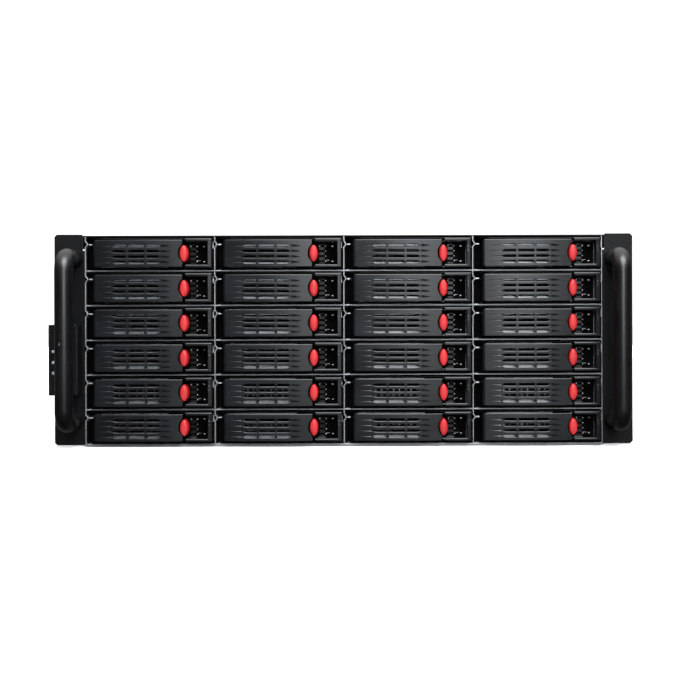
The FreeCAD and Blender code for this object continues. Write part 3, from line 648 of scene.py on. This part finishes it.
# A row's outlines: x along the lever, z from the row's middle line
LEFT_TAIL = ((11, 0), (22.2, -0.6), (22.2, 0.6))
RIGHT_TAIL = ((71.5, 0), (63.4, 1.3), (63.4, -1.3))
SLOTS = (((23, -0.5), (25.5, -1.45), (34.8, -1.45), (34.8, 1.45), (25.5, 1.45), (23, 0.5)),
         ((36.1, -1.45), (49.8, -1.45), (49.8, 1.45), (36.1, 1.45)),
         ((51.1, -1.45), (60.0, -1.45), (62.6, -0.5), (62.6, 0.5), (60.0, 1.45), (51.1, 1.45)))


def sink(bm, edges, depth, margin, height, drop=0.0):
    verts = corners(edges)
    middle = sum((v.co for v in verts), Vector()) / len(verts)
    wide = max(v.co.x for v in verts) - min(v.co.x for v in verts)
    inner = pull(bm, edges, (0, depth, 0))
    verts = corners(inner)
    bmesh.ops.scale(bm, vec=(1 - 2 * margin / wide, 1, height), verts=verts,
                    space=Matrix.Translation((-middle.x, 0, -middle.z)))
    bmesh.ops.translate(bm, vec=(0, 0, -drop), verts=verts)
    return inner


def slot_row(bm, z):
    outlines = [loop(bm, [(x, -LEVER_CROWN, z + dz) for x, dz in points])
                for points in (LEFT_TAIL, RIGHT_TAIL, *SLOTS)]
    left, right, *slots = outlines
    fill(bm, sink(bm, left, depth=0.4, margin=0.6, height=0.1, drop=-0.3))
    fill(bm, sink(bm, right, depth=0.8, margin=0.6, height=0.1, drop=0.5))
    lips = sum([sink(bm, slot, SLOT_LIP, margin=0.35, height=0.75) for slot in slots], [])
    return sum(outlines, []), pull(bm, lips, (0, LEVER_BACK + LEVER_CROWN - SLOT_LIP, 0))


print("slots in a lever", len(SLOT_ROWS) * len(SLOTS))

# %% [markdown]
# ## Bow of the lever
# The cover is bowed along its length and its left end slopes back. That is why each lever is dark at one
# end and catches the light at the other. Straight cuts across the filled plate give the bow its steps,
# and a formula moves every vertex forward. The hinge barrel is added after that, since it has to stay
# straight.

# %% Lever
LEVER_OUT = 4.65
BOW = 1.9
NOSE = 2.0
NOSE_SLOPE = 0.6
BARREL_Z = (2.7, 23.5)
BORE_R, BARREL_R = 1.5, 2.4


def bow(bm):
    for share in [NOSE / LEVER_LENGTH] + [k / 9 for k in range(1, 9)]:
        cut(bm, "x", LEVER_START + LEVER_LENGTH * share)
    for vert in bm.verts:
        along = vert.co.x - LEVER_START
        share = along / LEVER_LENGTH
        vert.co.y -= LEVER_OUT + share + BOW * 4 * share * (1 - share)
        vert.co.y += NOSE_SLOPE * max(NOSE - along, 0)
    bm.normal_update()
    # The faces of the nose that turn to the left take the near-black painted shade.
    for face in bm.faces:
        if face.normal.x < -0.3 and face.calc_center_median().x < LEVER_START + NOSE:
            face.material_index = 1


def lever_mesh():
    bm = bmesh.new()
    outline = lever_outline(bm)
    face = chamfered_face(bm, outline, 0.4, LEVER_CROWN)
    front = list(face.edges)
    bmesh.ops.delete(bm, geom=[face], context="FACES_ONLY")
    back = pull(bm, outline, (0, LEVER_BACK, 0))
    for z in SLOT_ROWS:
        rims, ends = slot_row(bm, z)
        front += rims
        back += ends
    fill(bm, front)
    fill(bm, back)
    bow(bm)
    # The hinge barrel, a tube round the pin, and the web that joins it to the cover
    seat = (*HINGE, BARREL_Z[0])
    tube = ring(bm, seat, BORE_R, 16, FACING_UP) + ring(bm, seat, BARREL_R, 20, FACING_UP)
    plate(bm, tube, (0, 0, BARREL_Z[1] - BARREL_Z[0]))
    block(bm, (7.6, 11.4), (-2.4, -0.9), BARREL_Z)
    return to_mesh(bm, "lever", lever_abs, recess_shade_abs, smooth=16)


lever = lever_mesh()
print("lever faces", len(lever.polygons))

# %% [markdown]
# ## Release catch
# The red lozenge is a circle stretched to an oval and drawn in toward its ends, so that they come to
# points. Its crown is the same loop pulled forward and narrowed four times, each time rising less. Insets
# would cross each other in the points.

# %% Catch cap
CAP_HALF_W, CAP_HALF_H = 3.4, 6.8
CAP_POINT = 0.12
CAP_BASE = -5.3
CAP_STEPS = ((0.93, 0.6), (0.87, 0.5), (0.75, 0.4), (0.5, 0.18))
CAP_DEPTH = 9.0


def cap_mesh():
    bm = bmesh.new()
    middle = Matrix.Translation((-NOTCH[0], 0, -NOTCH[1]))
    outline = ring(bm, (NOTCH[0], CAP_BASE, NOTCH[1]), CAP_HALF_W, 32)
    bmesh.ops.scale(bm, vec=(1, 1, CAP_HALF_H / CAP_HALF_W), verts=bm.verts[:], space=middle)
    for vert in bm.verts:
        side = vert.co.x - NOTCH[0]
        vert.co.x -= side * (1 - (abs(side) / CAP_HALF_W) ** CAP_POINT)
    edges = outline
    for share, rise in CAP_STEPS:
        edges = pull(bm, edges, (0, -rise, 0))
        bmesh.ops.scale(bm, vec=(share, 1, share), verts=corners(edges), space=middle)
    fill(bm, edges)
    fill(bm, pull(bm, outline, (0, CAP_DEPTH, 0)))
    return to_mesh(bm, "catch_cap", red_abs, smooth=50)


cap = cap_mesh()
print("cap faces", len(cap.polygons))

# %% [markdown]
# ## Slide and pins of the catch
# The lozenge stands on a black slide plate with five ribs, small zinc pins between them and a fine wire.
# They show in the pocket to its right, each a pixel or two wide, so blocks and rods are enough. The pins
# are a piece of their own, because they are metal.

# %% Slide and pins
SLIDE_Z = (5.4, 21.6)
SLIDE_Y = 4.5
RIB_GAP = 0.75
PIN_X = 91.4


def slide_mesh():
    bm = bmesh.new()
    # The plate behind the ribs is drawn in the near-black painted shade.
    block(bm, (78.2, 94.6), (SLIDE_Y, 5.7), SLIDE_Z, coat=1)
    starts = [SLIDE_Z[0]] + [z + RIB_GAP for z in PIN_ROWS]
    stops = [z - RIB_GAP for z in PIN_ROWS] + [SLIDE_Z[1]]
    for z in zip(starts, stops):
        block(bm, (85.8, 90.6), (3.7, SLIDE_Y), z, 0.2)
    return to_mesh(bm, "catch_slide", bezel_abs, recess_shade_abs)


def pin_mesh():
    bm = bmesh.new()
    for x, rows in ((86.2, PIN_ROWS[-1:]), (PIN_X, PIN_ROWS)):
        for z in rows:
            radius = 0.65 if z == PIN_ROWS[-1] else 0.42
            rod(bm, (x, SLIDE_Y, z), (x, 3.8, z), radius, 10)
            rod(bm, (x, 3.8, z), (x, 3.6, z), radius, 10, radius * 0.4)
    wire_z = PIN_ROWS[0] + 0.8
    rod(bm, (PIN_X, 4.4, wire_z), (94.5, 4.4, wire_z), 0.12, 6)
    return to_mesh(bm, "catch_pins", zinc_sheet)


slide = slide_mesh()
pins = pin_mesh()
print("slide faces", len(slide.polygons), "pin faces", len(pins.polygons))

# %% [markdown]
# ## Contact bars
# In the two lowest rows the photograph shows bright dots behind the middle slots. They are read as spring
# contacts on a bar across the carrier's window. Each bar is a dark strip with six flat studs, two to a
# slot. Tapered rods are enough for them, since a stud is hardly wider than a pixel.

# %% Bars
STUDS_X = (25.9, 30.7, 40.8, 45.6, 55.2, 60.3)
STRIP_Y = 7.2


def contact_mesh(name, lines):
    bm = bmesh.new()
    for z in lines:
        # The strip is drawn in the near-black painted shade.
        block(bm, (18.6, 66.4), (STRIP_Y, FLANGE_Y), (z - 0.5, z + 0.5), coat=1)
        for x in STUDS_X:
            rod(bm, (x, STRIP_Y, z), (x, 5.6, z), 0.65, 10, 0.5)
    return to_mesh(bm, name, plated_screw, recess_shade_abs)


contacts = {5: contact_mesh("contacts_two", (10.4, 14.9)), 6: contact_mesh("contacts_one", (14.6,))}
print("contact faces", [len(m.polygons) for m in contacts.values()])

# %% [markdown]
# ## Twenty-four trays
# The same seven meshes dress every bay. Each bay's origin is read from its CAD tray, so a piece can't
# drift from the body that it rides on. In the top row the lever and the catch are bodies of their own and
# move on their own joints. In the other rows they ride with their tray. An array would be shorter, but
# every tray has to move by itself.

# %% Set the trays in their bays
TRAY_LEFT = 1.2
cage_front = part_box("cage_dividers")[0].y / MM
bay_origins = []
for row in range(1, 7):
    for column in range(1, 5):
        bay = f"r{row}c{column}"
        tray = "tray_" + bay
        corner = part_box(tray)[0] / MM
        shift = (corner.x - TRAY_LEFT, cage_front, corner.z - TRAY_LOW)
        own = row == 1
        on_lever = "lever_" + bay if own else tray
        on_catch = "catch_" + bay if own else tray
        place_piece("carrier_" + bay, carrier, tray, [tray], shift)
        place_piece("bezel_" + bay, bezel, tray, [tray], shift)
        place_piece("light_pipes_" + bay, pipes, tray, (), shift)
        place_piece("lever_cover_" + bay, lever, on_lever, [on_lever], shift)
        place_piece("catch_cap_" + bay, cap, on_catch, [on_catch], shift)
        place_piece("catch_slide_" + bay, slide, on_catch, [on_catch], shift)
        place_piece("catch_pins_" + bay, pins, on_catch, (), shift)
        if row in contacts:
            place_piece("contact_bar_" + bay, contacts[row], tray, (), shift)
        bay_origins.append(shift)
print("trays set", len(bay_origins))

# %% [markdown]
# ## Shelf lips
# Each shelf is folded down by 2 mm along its rear edge, which stiffens it and closes the sight line past
# the backplanes. At the cage's foot the sheet is folded up in front, and this edge is the light line
# under the lowest trays. All the folds are blocks in one piece. They could be drawn in CAD, but such thin
# folds matter to the eye only.

# %% Lips and bottom edge
SHELF_X = (0.2, 105.8)
SHELF_END = (178.2, 179.0)
SHELF_FOLD = (25.6, 27.75)
CAGE_HALF = 212.5

lips = bmesh.new()
for x, y, z in bay_origins[4:]:
    block(lips, [x + k for k in SHELF_X], [y + k for k in SHELF_END], [z + k for k in SHELF_FOLD])
block(lips, (-CAGE_HALF, CAGE_HALF), (cage_front - 0.8, cage_front), (0.2, 1.5), 0.15)
lip_mesh = to_mesh(lips, "shelf_lips", cage_zinc)
place_piece("shelf_lips", lip_mesh, "chassis")
print("lip faces", len(lip_mesh.polygons))

# %% [markdown]
# ## Fan frames
# A fan's frame is a square nylon moulding with a round duct and four struts that hold the motor cup. It
# is made as two flanges with holes, joined by a duct. A block with a bore would be quicker, but the real
# one has a gap between its flanges.

# %% Fan frame
FLANGE_T = 4.0
DUCT_GAP = 2.0
DUCT_WALL = 1.6
SCREW_SHARE = 0.875
CUP = 2.9
STRUT_R = 1.3
STRUT_SLANT = 20
FOUR_CORNERS = ((-1, -1), (-1, 1), (1, -1), (1, 1))


def fan_frame(bm, low, high, hub_r):
    middle = (low + high) / 2
    half = (high.x - low.x) / 2
    duct = half - DUCT_GAP
    screw = half * SCREW_SHARE
    for y, move in ((low.y, FLANGE_T), (high.y, -FLANGE_T)):
        edges = pane(bm, (low.x, high.x), y, (low.z, high.z))
        edges += ring(bm, (middle.x, y, middle.z), duct, 48)
        for dx, dz in FOUR_CORNERS:
            edges += ring(bm, (middle.x + dx * screw, y, middle.z + dz * screw), 2.2, 12)
        plate(bm, edges, (0, move, 0))
    for radius in (duct, duct + DUCT_WALL):
        wall = ring(bm, (middle.x, low.y + FLANGE_T, middle.z), radius, 48)
        pull(bm, wall, (0, high.y - low.y - 2 * FLANGE_T, 0))
    back = high.y - CUP
    centre = Vector((middle.x, back + 1.4, middle.z))
    for k in range(4):
        turn = Matrix.Rotation(math.radians(90 * k + STRUT_SLANT), 4, "Y")
        inner = centre + turn @ Vector((hub_r - 1, 0, 0))
        outer = centre + turn @ Vector((duct + 0.6, 0, duct * 0.12))
        rod(bm, inner, outer, STRUT_R, 8)
    cup = rod(bm, (middle.x, back, middle.z), (middle.x, high.y - 0.2, middle.z), hub_r, 32)
    ease(bm, cup, 0.5)


print("fan frame helper ready")

# %% [markdown]
# ## Fan rotors
# On the real rotor the blades are moulded in one with the hub. Here a blade is a small grid, turned steep
# at the hub and flatter toward the tip, given a thickness, and set round the hub in copies. A grid suits
# this, because the twist can be given to its lines one by one.

# %% Fan rotor
HUB_SHARE = 0.36
BLADES = 7
BLADE_T = 1.0
HUB_PITCH, TIP_PITCH = 34, 50
SWEEP = 14


def twist_blade(bm, verts, hub_r, reach):
    for step in sorted({round(v.co.x, 4) for v in verts}):
        line = [v for v in verts if abs(v.co.x - step) < 1e-3]
        share = (step - hub_r) / (reach - hub_r)
        pitch = Matrix.Rotation(math.radians(HUB_PITCH + (TIP_PITCH - HUB_PITCH) * share), 3, "X")
        sweep = Matrix.Rotation(math.radians(SWEEP * share), 3, "Y")
        bmesh.ops.scale(bm, vec=(1, 0.75 + 0.2 * share, 1), verts=line)
        bmesh.ops.rotate(bm, cent=(step, 0, 0), matrix=pitch, verts=line)
        bmesh.ops.rotate(bm, cent=(0, 0, 0), matrix=sweep, verts=line)


def fan_rotor(middle, reach, depth):
    bm = bmesh.new()
    hub_r = reach * HUB_SHARE
    ease(bm, rod(bm, (0, -depth / 2, 0), (0, depth / 2, 0), hub_r, 32), 1.0, 3)
    for k in range(BLADES):
        verts = bmesh.ops.create_grid(bm, x_segments=6, y_segments=4, size=0.5)["verts"]
        bmesh.ops.scale(bm, vec=(reach - hub_r + 0.6, depth * 0.98, 1), verts=verts)
        bmesh.ops.translate(bm, vec=((reach + hub_r - 0.6) / 2 - 0.4, 0, 0), verts=verts)
        twist_blade(bm, verts, hub_r, reach)
        faces = faces_of(verts)
        made = bmesh.ops.solidify(bm, geom=faces, thickness=BLADE_T)["geom"]
        whole = list({v for f in faces for v in f.verts} | set(only(bmesh.types.BMVert, made)))
        turn = Matrix.Rotation(2 * math.pi * k / BLADES, 3, "Y")
        bmesh.ops.rotate(bm, cent=(0, 0, 0), matrix=turn, verts=whole)
    bmesh.ops.translate(bm, vec=middle, verts=bm.verts[:])
    return to_mesh(bm, "rotor", fan_nylon, smooth=35)


print("rotor helper ready,", BLADES, "blades")

# %% [markdown]
# ## Five fans
# Three fans stand in a wall behind the cage and two in the rear panel. Their places and sizes are read
# from the CAD frames and rotors, so each rotor is drawn round the axis that its joint turns it on.

# %% Set the fans
FANS = {"fan_frames": ["fan_rotor_1", "fan_rotor_2", "fan_rotor_3"],
        "rear_fan_frames": ["rear_rotor_1", "rear_rotor_2"]}

for frames, rotors in FANS.items():
    low, high = [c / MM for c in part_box(frames)]
    side = high.z - low.z
    bm = bmesh.new()
    for rotor in rotors:
        r_low, r_high = [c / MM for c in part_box(rotor)]
        axle = Vector(((r_low.x + r_high.x) / 2, (r_low.y + r_high.y) / 2, (low.z + high.z) / 2))
        reach = (r_high.x - r_low.x) / 2
        square = [Vector((axle.x + k * side / 2, box.y, box.z)) for k, box in ((-1, low), (1, high))]
        fan_frame(bm, *square, reach * HUB_SHARE)
        spun = fan_rotor(axle, reach, r_high.y - r_low.y)
        place_piece("spun_" + rotor, spun, rotor, [rotor])
    place_piece("moulded_" + frames, to_mesh(bm, frames, fan_nylon), "chassis", [frames])
    print(frames, "side", round(side), "mm,", len(rotors), "rotors")

# %% [markdown]
# ## Wire rings and screw heads
# A guard's ring is a wire bent round and welded end to end: a small circle in a full spin, merged where
# it meets itself. A torus would do as well, but spin is already at hand. A screw is a short head with a
# shallow round socket, made by an inset that is pushed back in.

# %% Wire rings and screw heads
WIRE = 0.8


def wire_ring(bm, centre, radius, steps=36):
    start = ring(bm, Vector(centre) + Vector((radius, 0, 0)), WIRE, 8, FACING_UP)
    revolve(bm, corners(start) + start, centre, (0, 1, 0), 2 * math.pi, steps, merge=True)


def screw_head(bm, seat, out, radius, height):
    seat, out = Vector(seat), Vector(out).normalized()
    verts = rod(bm, seat, seat + out * height, radius, 12, radius * 0.86)
    top = max(faces_of(verts), key=lambda f: f.calc_center_median().dot(out))
    bmesh.ops.inset_region(bm, faces=[top], thickness=radius * 0.4, depth=0.0, use_even_offset=True,
                           use_boundary=True)
    bmesh.ops.translate(bm, vec=out * -height * 0.6, verts=list(top.verts))


print("wire", 2 * WIRE, "mm thick")

# %% [markdown]
# ## Fan guards and rear screws
# Outside the rear panel each fan has a wire guard: five rings welded to two crossed bars, whose ends are
# held by the fan's four screws. The rings lie on the bars and sink into them a little, as at a weld, so
# no joint has to be modelled.

# %% Guards and screws
GUARD_RINGS = (8, 15, 22, 29, 36)
GUARD_REACH = 48
RINGS_OUT, BARS_OUT = 2.4, 1.0
EYELET_R = 3.2
FAN_SCREW = 35.75
FAN_SCREW_HEAD = (3.6, 2.6)

panel_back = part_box("rear_panel")[1].y / MM
fan_low, fan_high = [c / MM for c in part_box("rear_fan_frames")]
fan_z = (fan_low.z + fan_high.z) / 2
guards = bmesh.new()
fan_screws = bmesh.new()
for rotor in FANS["rear_fan_frames"]:
    r_low, r_high = [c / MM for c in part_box(rotor)]
    x = (r_low.x + r_high.x) / 2
    for radius in GUARD_RINGS:
        wire_ring(guards, (x, panel_back + RINGS_OUT, fan_z), radius)
    for slant in (45, 135):
        reach = Matrix.Rotation(math.radians(slant), 3, "Y") @ Vector((GUARD_REACH, 0, 0))
        spot = Vector((x, panel_back + BARS_OUT, fan_z))
        rod(guards, spot - reach, spot + reach, WIRE, 8)
    for dx, dz in FOUR_CORNERS:
        spot = Vector((x + dx * FAN_SCREW, panel_back, fan_z + dz * FAN_SCREW))
        wire_ring(guards, spot + Vector((0, WIRE, 0)), EYELET_R, 16)
        screw_head(fan_screws, spot, (0, 1, 0), *FAN_SCREW_HEAD)
place_piece("fan_guards", to_mesh(guards, "fan_guards", plated_wire, smooth=60), "chassis")
screw_mesh = to_mesh(fan_screws, "fan_screws", plated_screw, smooth=30)
place_piece("fan_screws", screw_mesh, "chassis")
print("guards at", round(panel_back, 1), "mm")

# %% [markdown]
# ## Thumbscrews of the lid
# Two captive thumbscrews hold the lid to the rear panel. The head is a cylinder with a straight knurl:
# every other edge of its side is drawn in a little. A bump could hint at the knurl, but the outline would
# stay round. The head has a thinner collar below it and a raised boss at its end.

# %% Thumbscrews
KNURL = (0.93, 1, 0.93)
thumb_low, thumb_high = [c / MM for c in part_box("lid_thumbscrews")]
thumbs = bmesh.new()
thumb_z = (thumb_low.z + thumb_high.z) / 2
thumb_r = (thumb_high.z - thumb_low.z) / 2
y_low, y_high = thumb_low.y, thumb_high.y
for x in (thumb_low.x + thumb_r, thumb_high.x - thumb_r):
    middle = Matrix.Translation((-x, 0, -thumb_z))
    head = rod(thumbs, (x, y_low + 1.4, thumb_z), (x, y_high, thumb_z), thumb_r, 48)
    ridges = sorted(head, key=lambda v: math.atan2(v.co.z - thumb_z, v.co.x - x))
    for k in range(0, len(ridges), 4):
        bmesh.ops.scale(thumbs, vec=KNURL, verts=ridges[k:k + 2], space=middle)
    collar = rod(thumbs, (x, y_low, thumb_z), (x, y_low + 1.6, thumb_z), thumb_r * 0.8, 32)
    ease(thumbs, collar, 0.2)
    rod(thumbs, (x, y_high - 0.4, thumb_z), (x, y_high + 0.4, thumb_z), thumb_r * 0.6, 24, thumb_r * 0.5)
thumb_mesh = to_mesh(thumbs, "thumbscrews", plated_screw, smooth=20)
place_piece("knurled_thumbscrews", thumb_mesh, "lid", ["lid_thumbscrews"])
print("thumbscrew radius", round(thumb_r, 1))

# %% [markdown]
# ## Small screws of the shell
# Screws hold the ears to the pan, and the front cover to the sides and to the cage below it. They are
# repeated, so each is a few dozen faces, and all of one group share a piece.

# %% Side screws
EAR_SCREWS_Y = (24, 50)
EAR_SCREWS_Z = (22, 80, 138)
COVER_SCREWS_Y = (100, 200)
TOP_SCREWS_X = (-160, -54, 54, 160)
EAR_HEAD, COVER_HEAD, TOP_HEAD = (3.2, 1.2), (2.8, 1.0), (2.8, 0.8)
COVER_DROP = 5.5
TOP_SETBACK = 14
LEG_T = 2.5

cover_low, cover_high = [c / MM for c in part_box("front_cover")]
leg_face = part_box("base_pan")[1].x / MM + LEG_T
shell_screws = bmesh.new()
for side in (-1, 1):
    for y in EAR_SCREWS_Y:
        for z in EAR_SCREWS_Z:
            screw_head(shell_screws, (side * leg_face, ear_low.y + y, z), (side, 0, 0), *EAR_HEAD)
    for y in COVER_SCREWS_Y:
        seat = (side * cover_high.x, cover_low.y + y, cover_high.z - COVER_DROP)
        screw_head(shell_screws, seat, (side, 0, 0), *COVER_HEAD)
for x in TOP_SCREWS_X:
    screw_head(shell_screws, (x, cover_low.y + TOP_SETBACK, cover_high.z), (0, 0, 1), *TOP_HEAD)
shell_mesh = to_mesh(shell_screws, "shell_screws", plated_screw, smooth=30)
place_piece("shell_screws", shell_mesh, "chassis")
print("ear legs end at", round(leg_face, 1))

# %% [markdown]
# ## Floor and dome
# The photograph is a product shot on white. The floor is a wide pale sheet with a faint glow, kept out of
# reflections so that the black faces stay deep. A white dome closes the view. A white sky would do that
# too, but it would also light the object from all round, and the dome is seen by the camera alone.

# %% Floor and dome
FLOOR_R = 9000
DOME_R = 12000
paper = grained("pale_paper", "#f9f9f9", "#fdfdfd", 300, 8, 0.0, (0.75, 0.85), Emission_Strength=0.12)
white = grained("white_backdrop", "#f4f4f4", "#ffffff", 4000, 900, 0.0, (0.8, 0.9), Emission_Strength=1.0)
sheet = bmesh.new()
bmesh.ops.create_circle(sheet, cap_ends=True, radius=FLOOR_R, segments=96)
dome = bmesh.new()
bmesh.ops.create_uvsphere(dome, u_segments=48, v_segments=24, radius=DOME_R)
floor_mesh = to_mesh(sheet, "floor", paper)
dome_mesh = to_mesh(dome, "backdrop", white)
for name, mesh in (("floor", floor_mesh), ("backdrop", dome_mesh)):
    stage = bpy.data.objects.new(name, mesh)
    stage.visible_glossy = False
    bpy.context.scene.collection.objects.link(stage)
bpy.data.objects["floor"].location.z = -0.0004
bpy.data.objects["backdrop"].visible_diffuse = False
bpy.data.objects["backdrop"].visible_shadow = False
print("floor and dome", FLOOR_R * MM, DOME_R * MM, "m in radius")

# %% [markdown]
# ## Sky and lamps
# A large key light hangs above, behind and a little right of the camera, a lower strip behind it draws
# the soft shine along the levers, and one light at the rear serves the views from there. The sky is dim
# in front, grey behind and bright overhead. An even sky would be simpler, but it greys the black fronts.

# %% Sky and lamps
world = bpy.data.worlds.new("studio")
world.use_nodes = True
bpy.context.scene.world = world
sky = world.node_tree
heading = add_node(sky, "SeparateXYZ", {0: add_node(sky, "TexCoord").outputs["Generated"]})
fade = add_node(sky, "MapRange", {"Value": heading.outputs[1], "From Min": 0.1, "From Max": 1.0,
                                  "To Min": 0.02, "To Max": 0.2})
lift = add_node(sky, "MapRange", {"Value": heading.outputs[2], "From Min": 0.35, "From Max": 0.9,
                                  "To Min": 0.0, "To Max": 1.7})
glow = add_node(sky, "Math", {0: fade.outputs[0], 1: lift.outputs[0]}, operation="ADD")
sky.nodes["Background"].inputs["Color"].default_value = (1, 1, 1, 1)
sky.links.new(glow.outputs[0], sky.nodes["Background"].inputs["Strength"])


def soft_light(name, place, aim, width, height, watts):
    lamp = bpy.data.lights.new(name, "AREA")
    lamp.shape = "RECTANGLE"
    lamp.size, lamp.size_y = width, height
    lamp.energy = watts
    lamp.color = (0.94, 0.98, 1.0)
    holder = bpy.data.objects.new(name, lamp)
    holder.location = place
    holder.rotation_euler = (Vector(aim) - Vector(place)).to_track_quat("-Z", "Y").to_euler()
    bpy.context.scene.collection.objects.link(holder)


soft_light("key", (0.3, -1.6, 1.56), (0, -0.3, 0.08), 1.6, 1.2, 66)
soft_light("strip", (0.25, -1.75, 0.47), (0.06, -0.3, 0.09), 0.45, 0.8, 8.2)
soft_light("rear", (0, 2.6, 0.7), (0, 0.3, 0.1), 1.8, 1.0, 60)
print("lamps", len(bpy.data.lights))

# %% [markdown]
# ## Camera
# The photograph was taken square on, with the eye a little to the right of the middle and above it. A
# camera turned toward the object from there would make its edges run together, so it looks almost
# straight ahead and its picture is shifted instead, by no more than the framing needs. The small turn and
# roll are what the photograph's own edges show.

# %% Photograph's view
EYE = 0.9
PHOTO = 680
PIXEL = 0.835 * MM
ASIDE, ABOVE = 0.014, 0.02
YAW = math.radians(0.35)
ROLL = math.radians(0.17)
MIDDLE_X, MIDDLE_Z = -4.0 * PIXEL, 0.0874
FILM = 36.0
camera = bpy.data.cameras.new("camera")
camera.sensor_width = FILM
camera.lens = FILM * EYE / (PHOTO * PIXEL)
camera.shift_x = -(ASIDE + EYE * math.tan(YAW)) / (PHOTO * PIXEL)
camera.shift_y = -ABOVE / (PHOTO * PIXEL)
view = bpy.data.objects.new("camera", camera)
view.location = (MIDDLE_X + ASIDE, ear_low.y * MM - EYE, MIDDLE_Z + ABOVE)
view.rotation_euler = (math.radians(90), ROLL, -YAW)
bpy.context.scene.collection.objects.link(view)
bpy.context.scene.camera = view
bpy.context.scene.view_settings.view_transform = "Standard"
print("lens", round(camera.lens, 1), "mm")
